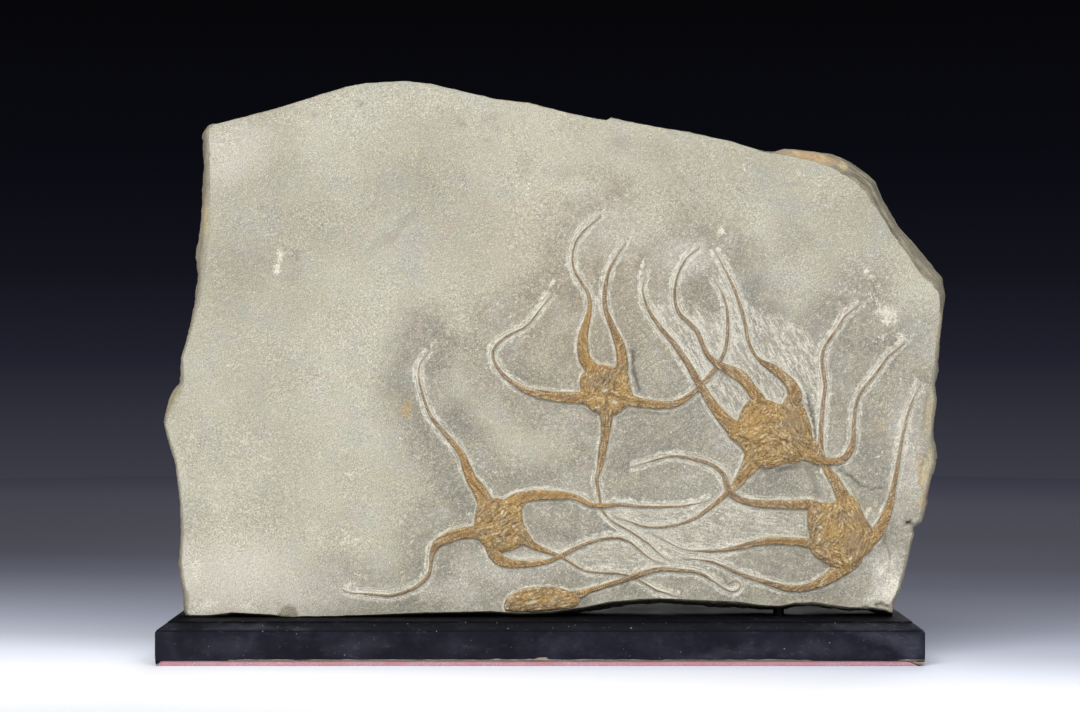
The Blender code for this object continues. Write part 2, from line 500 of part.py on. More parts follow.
def make_arm(points, disc_centre, crossings):
    """One arm from inside the disc to its tip. Each crossing is ((x, z), True if this arm is the upper)."""
    first = Vector(points[0])
    root = Vector((*first.xy.lerp(disc_centre, ARM_ROOT), first.z))
    route = smooth_through([root] + [Vector(point) for point in points], SPAN_PARTS)
    lengths = [0.0]
    for a, b in zip(route, route[1:]):
        lengths.append(lengths[-1] + (b - a).xy.length)
    marks = []
    for place, upper in crossings:
        nearest = min(range(len(route)), key=lambda i: (route[i].xy - Vector(place)).length)
        marks.append((lengths[nearest], upper))
    rings = []
    for i in arm_stations(route, lengths, marks):
        x, z, half_width = route[i]
        run = (route[min(i + 1, len(route) - 1)] - route[max(i - 1, 0)]).xy.normalized()
        side = Vector((-run.y, run.x)) * max(half_width, ARM_THINNEST)
        back, height = ARM_BACK, arm_height(half_width)
        for mark, upper in marks:
            near = near_crossing(abs(lengths[i] - mark))
            if upper:
                back += (BRIDGE - back) * near
                height += max(0.0, BRIDGE + BRIDGE_THICKNESS - height) * near
            else:
                height += (UNDER_TOP - height) * near
        rings.append([on_face(x + across * side.x, z + across * side.y, back + (height - back) * rise)
                      for across, rise in ARM_SECTION])
    shape = bmesh.new()
    loft(shape, rings)
    return make_object("arm", shape)


def make_star(name, star):
    """A disc with its arms, fused into one body."""
    body, centre = make_disc(name, star["disc"], star["height"], star["mouth"])
    for number, points in enumerate(star["arms"]):
        crossings = [(place, (upper, upper_arm) == (name, number))
                     for upper, upper_arm, lower, lower_arm, place in CROSSINGS
                     if (name, number) in ((upper, upper_arm), (lower, lower_arm))]
        combine(body, make_arm(points, centre, crossings), "UNION")
    weld(body, STAR_WELD)
    shade(body, 50)
    return body


def main():
    clear_scene()
    make_felt()
    make_board()
    make_pin(-1, "support_pin_left")
    make_pin(1, "support_pin_right")
    make_slab()
    for name, star in STARS.items():
        make_star(name, star)


main()
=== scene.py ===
"""Brittle stars in a slab of siltstone, pinned upright on a black display base with pink felt under it.

Metres, +Z up. The worked face of the slab looks towards -Y. Places on that face are (x, z) in millimetres:
x along the base from its middle, z above the underside of the felt.
"""
import heapq
import math

import bmesh
import bpy
import numpy as np
from mathutils import Matrix, Vector, noise
from mathutils.bvhtree import BVHTree
from mathutils.geometry import delaunay_2d_cdt
from mathutils.kdtree import KDTree


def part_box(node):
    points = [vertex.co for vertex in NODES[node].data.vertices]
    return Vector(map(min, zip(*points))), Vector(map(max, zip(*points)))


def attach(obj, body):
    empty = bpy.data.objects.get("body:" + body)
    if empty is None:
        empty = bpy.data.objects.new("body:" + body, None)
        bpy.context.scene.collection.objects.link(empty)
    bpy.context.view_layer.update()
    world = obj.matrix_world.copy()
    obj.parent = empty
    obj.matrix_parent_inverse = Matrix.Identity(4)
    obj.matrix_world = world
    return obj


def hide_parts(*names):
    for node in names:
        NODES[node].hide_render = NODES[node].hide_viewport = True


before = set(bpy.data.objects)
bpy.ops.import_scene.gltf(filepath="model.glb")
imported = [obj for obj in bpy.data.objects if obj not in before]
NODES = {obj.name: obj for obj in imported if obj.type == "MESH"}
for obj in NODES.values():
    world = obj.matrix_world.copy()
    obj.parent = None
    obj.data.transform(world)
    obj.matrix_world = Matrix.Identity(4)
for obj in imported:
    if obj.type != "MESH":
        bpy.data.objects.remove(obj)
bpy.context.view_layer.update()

MM = 0.001
FACE_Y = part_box("stone_slab")[0].y
SLAB_DEPTH = (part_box("stone_slab")[1].y - FACE_Y) / MM
BASE_LOW, BASE_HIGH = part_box("base_board")
FELT_LOW, FELT_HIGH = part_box("felt_underlay")

# ---------------------------------------------------------------- places on the worked face, in mm

# Middle and radius of each star's disc
DISCS = {
    "brittle_star_center": (29, 118, 11),
    "brittle_star_left": (-16.5, 59.5, 11),
    "brittle_star_upper_right": (102, 99, 15),
    "brittle_star_lower_right": (131, 55, 14),
    "brittle_star_bottom_edge": (1, 26, 13),
}

# Patches on the stars: finish, x, z, half length, half width, lean in degrees, strength, lift in mm
STAR_PATCHES = [
    # centre star: a round pit in the disc, stone showing through, rusty and golden lumps
    ("dull", 26.4, 122.9, 2.2, 1.8, 0, 0.9, -0.7),
    ("pale", 28.5, 118, 1.1, 0.7, 30, 1, -0.3),
    ("pale", 32.2, 112.6, 2, 1.3, 50, 0.8, -0.5),
    ("dull", 21.5, 120.9, 2, 1.6, 40, 0.7, -0.2),
    ("rust", 18, 120.6, 0.9, 2.4, 0, 0.8, 0.1),
    ("golden", 22.7, 112.8, 2.4, 1.2, 25, 0.9, 0.35),
    ("golden", 22.9, 109.4, 1.8, 1.2, 0, 0.7, 0.25),
    ("golden", 36.6, 118.6, 2, 3.2, -20, 0.6, 0.1),
    ("dark", 31.9, 115.2, 1.6, 0.6, -15, 0.7, -0.25),
    # left star: mottled, one dark pit, white flecks
    ("rust", -18.5, 70.4, 1.7, 1.3, 0, 0.9, 0.15),
    ("rust", -22.8, 67.6, 1.6, 2.4, 15, 0.7, 0.2),
    ("pale", -16.9, 65.8, 0.5, 1, -20, 0.9, 0.1),
    ("pale", -11.6, 59, 0.6, 1.2, 15, 1, -0.2),
    ("dark", -14.3, 55.2, 2, 1.2, 20, 0.9, -0.6),
    ("golden", -22.6, 53.8, 3.4, 2, 20, 0.8, 0.35),
    ("dark", -25.2, 62.8, 1.3, 1, 0, 0.6, -0.3),
    ("rust", -1.6, 50.6, 2.4, 0.9, -35, 0.6, -0.1),
    ("golden", -15, 49.4, 3, 1.2, -20, 0.6, 0.2),
    # upper right star: dark brown cap, golden upper lobe, duller right lobe, smooth tan lower lobe
    ("dark", 96.8, 112.6, 3.6, 1.6, -20, 0.75, 0.2),
    ("dark", 88.4, 110.4, 0.8, 3.6, -35, 0.7, -0.2),
    ("golden", 94.6, 104.2, 7.5, 6, 0, 0.7, 0.45),
    ("golden", 90.2, 99, 3.2, 2.2, -20, 0.9, 0.3),
    ("dull", 110.6, 104.6, 5.6, 8, 15, 0.75, 0.1),
    ("golden", 103.9, 88.8, 6.5, 2.6, 12, 0.35, 0.3),
    ("dull", 101, 91.8, 5.5, 2.6, 0, 0.45, 0.2),
    ("dark", 107.4, 95.6, 1.5, 0.8, -10, 0.9, -0.6),
    ("pale", 109.6, 94.8, 1, 0.4, -35, 0.9, 0.2),
    ("rust", 112.6, 85.8, 2, 0.7, 0, 0.9, -0.2),
    ("dull", 88.6, 92.4, 1.6, 2.2, 30, 0.6, 0),
    ("golden", 118.4, 90.6, 3.4, 1.8, -30, 0.5, 0.2),
    # lower right star: golden left part with a pit, dull right part
    ("rust", 117.6, 63.6, 0.9, 3, 0, 0.9, 0.1),
    ("pale", 121.6, 58.2, 1.5, 0.7, 0, 0.8, -0.6),
    ("rust", 122.9, 60.6, 1.6, 0.9, 0, 0.8, -0.3),
    ("pale", 126.9, 60.8, 0.4, 1.8, 25, 0.8, 0.1),
    ("golden", 126.4, 56.6, 6, 6.5, 0, 0.65, 0.35),
    ("golden", 124.6, 67, 3.2, 2.2, 20, 0.7, 0.25),
    ("dull", 137.4, 51.6, 5.8, 8, 25, 0.9, 0.05),
    ("dull", 138.8, 62.4, 4.4, 4.6, 0, 0.85, 0),
    ("dark", 139.4, 61.6, 1.6, 1.6, 0, 0.5, -0.3),
    ("dark", 121.7, 50.2, 2.2, 0.8, 10, 0.7, -0.3),
    ("dull", 123.4, 47.4, 2, 1, 0, 0.8, -0.2),
    ("rust", 138.4, 44.6, 2.2, 1.2, 50, 0.8, 0.2),
    # star at the lower edge: ochre with stone showing through its middle
    ("golden", 2.4, 26.8, 4, 2.4, 0, 0.8, 0.2),
    ("golden", 8.2, 23.8, 3.4, 1.6, 0, 0.7, 0.1),
    ("pale", -3.4, 25.8, 3.4, 1, 8, 0.75, -0.3),
    ("pale", 0.4, 23.6, 3.2, 0.7, 10, 0.55, -0.1),
    ("pale", -14.6, 24.2, 2.2, 1.2, 40, 0.6, -0.1),
    ("rust", -6.3, 22.8, 0.9, 0.9, 0, 0.9, 0),
    ("dark", 3, 31.4, 4.6, 0.9, 0, 0.5, 0.1),
    ("dull", -9.4, 26.4, 2.6, 2.4, 0, 0.4, 0),
]
# Flesh between an arm and its disc: star, x, z, half length, half width, lean in degrees, height in mm
WEBS = [
    ("brittle_star_upper_right", 113.6, 108.6, 6, 2.6, 112, 1.7),
    ("brittle_star_upper_right", 118, 91.4, 6.4, 3.6, -38, 1.9),
    ("brittle_star_upper_right", 120.2, 93.4, 4.6, 1.8, -60, 1.6),
    ("brittle_star_upper_right", 111, 88.4, 5, 2.4, 8, 1.6),
    ("brittle_star_upper_right", 89.6, 96.8, 4, 2.4, -48, 1.5),
    ("brittle_star_upper_right", 93.2, 87, 3.4, 3, 60, 1.5),
    ("brittle_star_lower_right", 143.2, 50.4, 6.2, 2.6, 58, 1.6),
    ("brittle_star_lower_right", 137.6, 42.4, 4, 2.2, 40, 1.5),
    ("brittle_star_lower_right", 137, 68.4, 4.6, 2.4, -52, 1.6),
    ("brittle_star_lower_right", 119.6, 67.2, 3.4, 2.2, 0, 1.6),
    ("brittle_star_left", -25, 56.8, 4.6, 2.8, 20, 1.5),
    ("brittle_star_left", -9.6, 67.6, 4, 2.4, 35, 1.5),
    ("brittle_star_left", -20, 51.6, 3.6, 2.2, -50, 1.4),
    ("brittle_star_left", -24.6, 67.4, 3.6, 2.4, -60, 1.4),
    ("brittle_star_center", 22.2, 112, 3.4, 2, -30, 1.3),
    ("brittle_star_center", 36.6, 113.4, 3.6, 2.2, -20, 1.3),
]
# Lean of the fibres on the discs: x, z, lean in degrees
FLOWS = [
    (22, 122, 70), (36, 124, 62), (29, 112, 80), (24, 113, 5), (35, 114, -15), (-20, 66, 50), (-11, 66, 25),
    (-22, 56, 20), (-13, 55, 40), (-16, 49, -25), (-6, 54, -40), (92, 108, 40), (97, 98, 15),
    (112, 106, -72), (108, 94, -35), (118, 91, -28), (100, 87, 14), (90, 88, 50), (122, 62, 65),
    (128, 54, 50), (138, 62, -50), (138, 50, 60), (128, 46, -30), (-8, 26, 12), (8, 27, 8),
]
# Lines on the stars: finish, route, half width, strength, lift in mm
STAR_LINES = [
    ("rust", [(22.4, 126.7), (25.6, 127.8), (28.7, 128), (31, 127.2)], 0.55, 1, 0.35),
    ("dark", [(28.2, 115.6), (32.5, 115.8), (35.3, 114.2), (38.7, 113), (46, 112.8)], 0.4, 0.8, -0.35),
    ("dark", [(29.6, 114.4), (28.9, 111.1), (30, 107.1), (29.6, 100)], 0.4, 0.7, -0.3),
    ("golden", [(37.1, 131.1), (34.2, 126.7), (32, 122.2), (30, 119.1)], 0.5, 0.7, 0.3),
    ("golden", [(38.9, 130), (36.7, 124.9), (34.5, 120), (33.1, 117.8)], 0.5, 0.7, 0.3),
    ("dark", [(38, 130.4), (35.4, 125.8), (33.2, 121.2), (31.6, 118.4)], 0.3, 0.6, -0.25),
    ("dull", [(24, 126), (22.6, 122.8), (23.8, 119.8), (27, 119.4), (29, 121.4), (28.4, 124.6)],
     0.45, 0.5, 0.35),
    ("rust", [(5, 114.9), (11, 114.4), (15.7, 114.2)], 0.5, 0.9, -0.1),
    ("dark", [(86.7, 98), (91.8, 95.6), (95.8, 96.3)], 0.4, 0.9, -0.5),
    ("golden", [(87.4, 99.2), (91.8, 97), (95.6, 97.5)], 0.5, 0.9, 0.25),
    ("dark", [(104.1, 96.3), (107.5, 96), (111.4, 93.4), (114.1, 89)], 0.45, 0.8, -0.45),
    ("golden", [(105.6, 97.8), (109.4, 96.6), (113, 93.8)], 0.45, 0.6, 0.3),
    ("rust", [(94.8, 83.3), (102.1, 84.8), (108.5, 86.8), (112.8, 86.9)], 0.6, 0.7, 0.1),
    ("dark", [(99, 107.6), (100.4, 103.4), (104.2, 99.8)], 0.5, 0.45, -0.2),
    ("golden", [(100.4, 106.2), (103.2, 107.2), (105.4, 108.4)], 0.4, 0.7, 0.2),
    ("dark", [(117.2, 93), (121, 90.6), (125, 88.2)], 0.35, 0.7, -0.2),
    ("golden", [(117.2, 88.6), (121.6, 87.2), (125.6, 85.8)], 0.4, 0.8, 0.2),
    ("dark", [(131.6, 63.6), (133, 58), (131.8, 52.4), (134, 46.8)], 0.5, 0.45, -0.25),
    ("dark", [(-8.4, 69.4), (-14, 66.4), (-19.4, 61)], 0.4, 0.4, -0.2),
    ("dark", [(-20.6, 58.6), (-14.6, 56.4), (-9.4, 56)], 0.4, 0.4, -0.2),
    ("rust", [(-10, 71.6), (-2, 72.4), (5, 71.6)], 0.45, 0.5, -0.1),
    ("golden", [(20.6, 130), (18.5, 138.6), (19.8, 146), (21.6, 152.5)], 2.6, 0.9, 0),
    ("golden", [(-12.2, 69.6), (-6.5, 71.8), (0, 72.6), (9, 72.4), (18.8, 69.6), (30, 67.8)], 2.2, 0.8, 0),
    ("golden", [(-25.4, 71.5), (-30.1, 79.2), (-33, 87), (-37.5, 94.3)], 2.6, 0.6, 0),
    ("golden", [(-20, 46.5), (-14, 42.6), (-5, 42), (4.4, 43.4)], 2.2, 0.5, 0),
    ("golden", [(86, 99.6), (80.3, 105.4), (75.1, 112)], 3, 0.5, 0),
    ("dull", [(-28, 55.8), (-36.2, 55), (-45.2, 50.4)], 2.6, 0.3, 0),
    ("dark", [(118, 51.2), (108, 52.2), (99.5, 52.2)], 2.4, 0.4, 0),
]

# Where the stone between the arms was scraped in short strokes: finish and outline
STROKED_FIELDS = [
    ("hatched", [(47, 156), (58, 155), (59, 150), (65, 147), (68, 154), (74, 153), (80, 152), (82, 158),
                 (88, 158), (96, 153), (109, 149), (117, 144), (122, 136), (124, 122), (121, 112), (113, 113),
                 (106, 112), (96, 116), (88, 104), (84, 101), (70, 122), (60, 138), (52, 148)]),
    ("raked", [(27, 68), (44, 70), (70, 70), (85, 72), (93, 66), (117, 66), (117, 57), (100, 54), (86, 51),
               (72, 50), (60, 42), (45, 40), (30, 41), (12, 46), (20, 53), (35, 55), (42, 51), (32, 60)]),
    ("raked", [(-18, 46.5), (-10, 47.5), (4, 48), (8, 46), (-2, 43.5), (-14, 43.5)]),
]
# Pale chalky places: x, z, half length, half width, lean in degrees, strength
CHALK = [
    (-113.6, 176.8, 4.2, 1.7, 98, 1), (-114.6, 171.4, 3.8, 2, 74, 1), (-136, 129, 2.6, 2, 20, 0.35),
    (-119.5, 88, 3.4, 1.2, -30, 0.4), (-111, 75, 2.2, 1.1, 70, 0.4), (-83, 81.5, 3.6, 1.8, 10, 0.5),
    (-81.5, 52.5, 4.6, 0.8, 12, 0.7), (-86, 52, 2.4, 0.5, 60, 0.6), (-82, 48.6, 1.8, 0.5, -50, 0.5),
    (-56, 52.4, 1.6, 0.9, 0, 0.45), (-71, 99, 2.4, 1, -40, 0.35), (-66, 126, 2, 1.4, 60, 0.3),
    (-6, 205, 3.4, 1.8, 70, 0.4), (-3, 175.5, 3.2, 0.9, 42, 0.5), (89, 215, 1.9, 0.5, 60, 0.75),
    (90.4, 213, 2.2, 0.5, -42, 0.75), (88.2, 212, 1.5, 0.4, 10, 0.6), (96.2, 211.4, 3.4, 0.35, -35, 0.8),
    (112.8, 213, 2.6, 0.9, -12, 0.6), (115.5, 211.9, 1.2, 0.7, 20, 0.7), (142.4, 170.4, 2.2, 1.8, 60, 0.85),
    (144.4, 167.6, 2.6, 1.4, -20, 0.8), (148, 163.4, 2.6, 0.8, -55, 0.7),
    (150.4, 159.8, 1.6, 0.7, -55, 0.6), (134.4, 163, 2, 0.4, -60, 0.6), (138.4, 160.6, 2.6, 0.4, -8, 0.65),
    (144.6, 158, 3, 1.2, 25, 0.6), (149, 152.6, 3.4, 2, 20, 0.65), (154.4, 151, 2.8, 2.2, 60, 0.7),
    (151.6, 147.4, 3.2, 1.6, -15, 0.65), (157.6, 142.6, 3.8, 0.6, -14, 0.8),
    (163.2, 141.8, 1.8, 0.5, -8, 0.7), (145.4, 147.8, 2, 1.2, 40, 0.5), (143.4, 64.8, 3, 1.4, 62, 0.9),
    (141.8, 60, 1.6, 0.9, 50, 0.7), (149, 40, 3.2, 1.4, 50, 0.65), (152.6, 36.6, 2.6, 1.2, 70, 0.6),
    (148.6, 31, 3.8, 1.2, 50, 0.65), (144.6, 27, 3, 1, 30, 0.55), (153.4, 29.6, 2, 0.8, -20, 0.5),
    (-21.1, 74.3, 0.9, 0.8, 0, 1), (122, 79, 2.8, 0.5, -62, 0.7), (128, 71.4, 1.4, 0.8, 0, 0.4),
    (-31, 64, 2, 1.4, 60, 0.6), (-46.6, 138.2, 2.6, 0.9, 60, 0.7), (5.4, 165, 3.4, 1.1, 58, 0.75),
    (1.6, 160.4, 3.4, 0.8, 56, 0.6), (27, 195.8, 3.2, 0.8, 56, 0.7), (38.6, 183, 2.6, 0.9, 58, 0.6),
    (44.8, 173, 2.6, 1, 84, 0.7), (79.4, 187.6, 2.4, 2.2, 60, 0.7), (-83, 33.4, 3.2, 1.4, 12, 0.7),
    (-79, 37.2, 3.4, 0.8, -18, 0.6), (157.6, 121.6, 2.4, 0.8, 70, 0.6), (152, 151, 7.5, 4.2, -50, 0.6),
    (146, 158.6, 4, 1.4, -40, 0.6), (158, 140.6, 5.6, 1.2, -20, 0.7), (149, 141, 3.6, 2, 10, 0.5),
    (154, 31, 8, 5, 50, 0.85), (150, 40, 6, 3.4, 40, 0.7), (-146, 24, 8, 4, 20, 0.55),
    (-128, 24, 7, 3, -10, 0.45), (-150, 40, 3, 7, 0, 0.4),
]
# Darker smudges of clay: x, z, half length, half width, lean in degrees, strength
SMUDGES = [
    (-62, 188, 17, 3.6, 48, 0.6), (-72, 182, 10, 2.2, 50, 0.5), (-107, 176, 5, 2.8, 75, 0.7),
    (-108, 168, 7, 4, 70, 0.4), (-125, 172, 20, 14, 0, 0.3), (-22, 236, 5, 2.4, 10, 0.4),
    (-7, 217, 4, 6, 20, 0.35), (13, 214, 6, 3, 10, 0.35), (-60, 118, 16, 10, -50, 0.35),
    (-14, 128, 9, 14, 20, 0.55), (52, 222, 9, 6, 20, 0.25), (92, 161, 6.5, 9, -30, 0.7),
    (104, 153, 8, 4, -20, 0.5), (116.4, 186, 1.4, 6, 25, 0.6), (119.6, 184, 1, 4.6, 20, 0.5),
    (70, 165, 5, 8, 10, 0.5), (110, 185, 10, 5, 60, 0.3), (5, 52, 14, 8, 0, 0.2), (-28, 33, 16, 7, 0, 0.15),
    (-40, 76, 8, 16, 30, 0.35), (44, 92, 22, 8, 0, 0.25), (128, 128, 8, 12, -20, 0.3),
    (105, 76, 10, 4, 10, 0.5), (-120.9, 198.3, 0.8, 0.5, 60, 1), (-80.3, 187.6, 1.6, 0.4, -35, 1),
    (-103, 238.9, 0.5, 1.6, 10, 1), (-107.5, 177, 1.8, 1.4, 20, 0.9), (156, 40, 3, 5, 20, 0.4),
    (-52, 196, 44, 30, 30, 0.24), (-110, 208, 24, 18, 20, 0.18), (65, 118, 12, 28, 0, 0.45),
    (61, 66, 26, 11, 0, 0.35), (110, 184, 9, 14, 0, 0.4), (140, 92, 8, 9, 0, 0.4),
    (-35, 108, 9, 11, 0, 0.35), (122, 144, 8, 10, 0, 0.35), (-110, 20.2, 5, 4.6, 0, 0.12),
    (-78.1, 242.6, 2, 1.6, 0, 0.8), (-34.5, 235, 2.6, 2.6, 20, 0.7), (-37.6, 223, 1.4, 1, 0, 0.9),
    (-99.3, 238.3, 1.6, 1, 0, 0.7), (-126, 233.4, 2.4, 1.6, 0, 0.7), (-118.4, 224.1, 1.8, 1.4, 0, 0.6),
    (-18.5, 231.7, 2, 1.4, 0, 0.6), (-24, 228, 1.2, 0.9, 30, 0.8), (33.9, 225.9, 5.4, 4.6, 0, 0.35),
    (12.7, 211.9, 7, 3.5, 30, 0.4), (61.7, 210.7, 2, 5, 20, 0.4), (57.4, 230.9, 2.4, 1.6, 0, 0.5),
    (71.6, 219.4, 3, 2.4, 0, 0.4), (110.8, 207.4, 5, 1.6, 0, 0.4),
]
# Warm iron stains: x, z, half length, half width, lean in degrees, strength
STAINS = [
    (-58, 110, 3.2, 5.6, -15, 0.9), (-39.3, 188.6, 4.6, 1.8, -10, 0.35), (-12, 151, 3, 3, 0, 0.25),
    (148.4, 103, 4, 2.2, 0, 0.5), (54.9, 136, 0.5, 0.5, 0, 0.9), (167, 70, 2, 6, 0, 0.8),
    (146, 66, 3, 2, 40, 0.3), (140, 210, 5, 1.4, -40, 0.2), (14, 172, 62, 80, 0, 0.16),
    (-110, 20.2, 5, 4.6, 0, 0.4), (166.5, 82, 2.4, 9, 5, 0.9), (170, 108, 3, 8, 0, 0.35),
]
# Places where the stone is bleached: x, z, half length, half width, lean in degrees, strength
BLEACHED = [
    (-136, 222, 26, 16, 20, 0.5), (-140, 34, 44, 26, 0, 0.6), (-100, 30, 30, 14, 0, 0.45),
    (34, 190, 30, 14, 0, 0.4), (62, 176, 16, 12, 0, 0.5), (160, 92, 10, 34, 0, 0.35),
    (152, 34, 10, 18, 0, 0.6), (20, 205, 12, 8, 0, 0.4), (-14, 41, 26, 10, 0, 0.4), (8, 46, 10, 8, 0, 0.4),
    (-40, 30, 16, 8, 0, 0.4),
]
# Grooves cut beside the stars, and cracks: route, half width, depth, and darkness of the painted shade in
# them
GROOVES = [
    ([(40.6, 134.6), (41, 127.4), (42, 121.6), (43.6, 117.4)], 0.6, 0.9, 1),
    ([(116.9, 115.9), (118.3, 109.3), (120, 102.8), (120.5, 98.4), (119.8, 94.9)], 0.55, 0.8, 1),
    ([(-4.6, 64.6), (-4.2, 58), (-2.8, 52.8)], 0.35, 0.3, 0.4),
    ([(40, 107.8), (48, 107.6), (56, 107.6)], 0.35, 0.3, 0.4),
    ([(115.6, 84.6), (118.5, 80.6), (120.6, 75.6), (121.2, 71.8)], 1.3, 0.7, 0.5),
    ([(104, 82.8), (109, 84), (113.4, 84.4)], 1.1, 0.5, 0.6),
    ([(131.5, 83), (136, 80), (140, 76.5), (144.5, 75), (150, 75.5)], 0.4, 0.5, 1),
    ([(150, 60), (150.5, 52), (153, 46), (152, 38)], 0.5, 0.4, 0.6),
    ([(160.2, 59.8), (164.2, 58.8)], 0.7, 1, 1),
]
# Chips off the edge of the face: x, z, half length, half width, lean in degrees, depth in mm
CHIPS = [
    (-156.6, 22, 8, 3, 72, 0.7), (-110, 19.2, 5.2, 5.6, 0, 0.4), (151.4, 22.4, 7, 2.6, -14, 1.4),
    (143, 22, 3, 1.6, -20, 0.8), (170.6, 108, 14, 3.2, 84, 0.9), (169, 83, 12, 3, 80, 0.9),
    (161.6, 60, 1.6, 1.2, 30, 1.4), (140.6, 209.6, 6.4, 2.4, -42, 1), (-146.6, 196, 26, 1.6, 89, 0.5),
    (-160.6, 117, 9, 3.6, 78, 0.8),
]
# How much lower the lower edge of the face lies than the plain block: x and mm
DROPS = [(-156, 1.2), (-131, 1), (-105, 1), (-39, 1.2), (9, 0.6), (30, 0.4), (87, 0.4),
         (96, 0.9), (110, 1.2), (116.5, 1.8), (128, 1.8), (138, 1.5), (145, 1.2), (153.6, 0.6)]
# Line of the break that slopes to the front; it is dark from its very edge, where the broken side's own
# colour is laid on in full as painted shade
BEVEL = [(104, 224), (122, 221.5), (135, 216.5), (150, 197), (160, 182), (172, 166), (177, 158.5)]
# Where the broken side stands out less: x, z, half length, half width, lean in degrees, share
TRIMS = [
    (158, 184, 30, 16, -54, 0.2), (140, 215, 9, 6, -40, 0.5), (172, 150, 26, 10, 90, 0.3),
    (172, 118, 30, 10, 90, 0.25), (166, 70, 34, 10, 90, 0.25), (158, 40, 22, 10, 80, 0.25),
]
# Crust and fresh stone on the broken edges: finish, x, z, half length, half width, lean, strength
CRUSTS = [
    ("fresh", -154, 140, 120, 18, 88, 0.85), ("fresh", 172, 112, 62, 14, 92, 0.9),
    ("fresh", 160, 40, 34, 14, 80, 0.8), ("rusty", 119, 220.5, 15.5, 3.4, -11, 1),
    ("yellow", 132.6, 216.2, 2.2, 2.4, -30, 1), ("yellow", 112, 222, 2.6, 1.2, 0, 0.8),
    ("yellow", 124, 219.6, 2.2, 1, -20, 0.7), ("rusty", 172.5, 144, 4.6, 13, 0, 0.85),
    ("yellow", 169, 108, 5, 10, 0, 0.4), ("yellow", 168, 84, 4, 11, 0, 0.75),
    ("rusty", 168.5, 70, 3, 7, 0, 0.6), ("yellow", -146, 191, 4, 9, 0, 0.8),
    ("rusty", -147, 205, 4, 8, 0, 0.25), ("yellow", -160, 112, 5, 9, 0, 0.35),
    ("rusty", -10, 243, 22, 2.6, -12, 0.55), ("rusty", 54, 231.5, 12, 2.2, -8, 0.5),
]

# ---------------------------------------------------------------- small tools


def linear(hex_colour):
    """The sRGB colour as linear values that a shader takes."""
    parts = [int(hex_colour[i:i + 2], 16) / 255 for i in (1, 3, 5)]
    return (*[c / 12.92 if c <= 0.04045 else ((c + 0.055) / 1.055) ** 2.4 for c in parts], 1.0)


def each(size):
    """Noise scale, for an object measured in metres, that gives features of this size in mm."""
    return 1 / (size * MM)


def add(tree, kind, inputs=None, stops=(), out=None, **settings):
    """Adds a node and returns its output. Inputs are values or other nodes' outputs; stops are a ramp's."""
    node = tree.nodes.new("ShaderNode" + kind)
    for name, value in settings.items():
        setattr(node, name, value)
    for key, value in (inputs or {}).items():
        if isinstance(value, bpy.types.NodeSocket):
            tree.links.new(value, node.inputs[key])
        else:
            node.inputs[key].default_value = value
    for i, (position, colour) in enumerate(stops):
        steps = node.color_ramp.elements
        step = steps[i] if i < len(steps) else steps.new(1.0)
        step.position = position
        step.color = linear(colour)
    if out is not None:
        return node.outputs[out]
    return next((socket for socket in node.outputs if socket.enabled), None)


def blank(name):
    """A material and its empty node tree."""
    made = bpy.data.materials.new(name)
    made.use_nodes = True
    made.node_tree.nodes.clear()
    return made, made.node_tree


def smooth_step(low, high, value):
    """Goes smoothly from 0 at low to 1 at high, which may be the smaller of the two."""
    share = np.clip((value - low) / (high - low), 0.0, 1.0)
    return share * share * (3 - 2 * share)


def wander(points, size, seed=0.0):
    """Smooth noise from -1 to 1 at each point, both in mm."""
    shift = Vector((seed * 17.3, seed * 5.1, seed * 9.7))
    return np.array([noise.noise(Vector(point) / size + shift) for point in points])


def crumble(points, size, seed=0.0, octaves=4):
    """Fractal noise from about -1 to 1 at each point, both in mm."""
    shift = Vector((seed * 13.7, seed * 3.3, seed * 7.9))
    return np.array([noise.fractal(Vector(point) / size + shift, 0.8, 2.0, octaves) for point in points])


def numbers(source, name, width):
    """One property of every item as an array."""
    values = np.empty(len(source) * width)
    source.foreach_get(name, values)
    return values.reshape(-1, width) if width > 1 else values


def paint(mesh, name, values, place="POINT"):
    """Stores one number for each vertex or face, for a material to read."""
    layer = mesh.attributes.new(name, "FLOAT", place)
    layer.data.foreach_set("value", np.asarray(values, dtype=np.float32))


def blob(xz, place):
    """Strength in the middle of a leaning ellipse on the face, 0 outside it."""
    x, z, half_length, half_width, lean, strength = place
    turn = math.radians(lean)
    away = xz - (x, z)
    along = (away[:, 0] * math.cos(turn) + away[:, 1] * math.sin(turn)) / half_length
    across = (away[:, 1] * math.cos(turn) - away[:, 0] * math.sin(turn)) / half_width
    return strength * (1 - smooth_step(0.3, 1.2, np.hypot(along, across)))


def strongest(xz, places):
    """The most that any of these places gives each point."""
    return np.max([blob(xz, place) for place in places], axis=0)


def on_face(xz):
    """The (x, z) places as points in space."""
    return np.stack([xz[:, 0], np.zeros(len(xz)), xz[:, 1]], axis=1)


def strayed(xz, points, size, seed, far):
    """The (x, z) places moved up to about this far by noise, so that outlines drawn there are ragged."""
    return xz + np.stack([wander(points, size, seed), wander(points, size, seed + 1)], axis=1) * far


def off_route(xz, route):
    """Distance from each point to a broken line."""
    best = np.full(len(xz), 1e9)
    for start, end in zip(route, route[1:]):
        start, run = np.array(start), np.subtract(end, start)
        share = np.clip(((xz - start) @ run) / (run @ run), 0, 1)
        best = np.minimum(best, np.hypot(*(xz - start - share[:, None] * run).T))
    return best


def inside(xz, outline):
    """True where a point lies in the outline."""
    hit = np.zeros(len(xz), bool)
    for (x1, z1), (x2, z2) in zip(outline, outline[1:] + outline[:1]):
        straddles = (z1 > xz[:, 1]) != (z2 > xz[:, 1])
        reach = x1 + (xz[:, 1] - z1) * (x2 - x1) / ((z2 - z1) or 1e-9)
        hit ^= straddles & (xz[:, 0] < reach)
    return hit


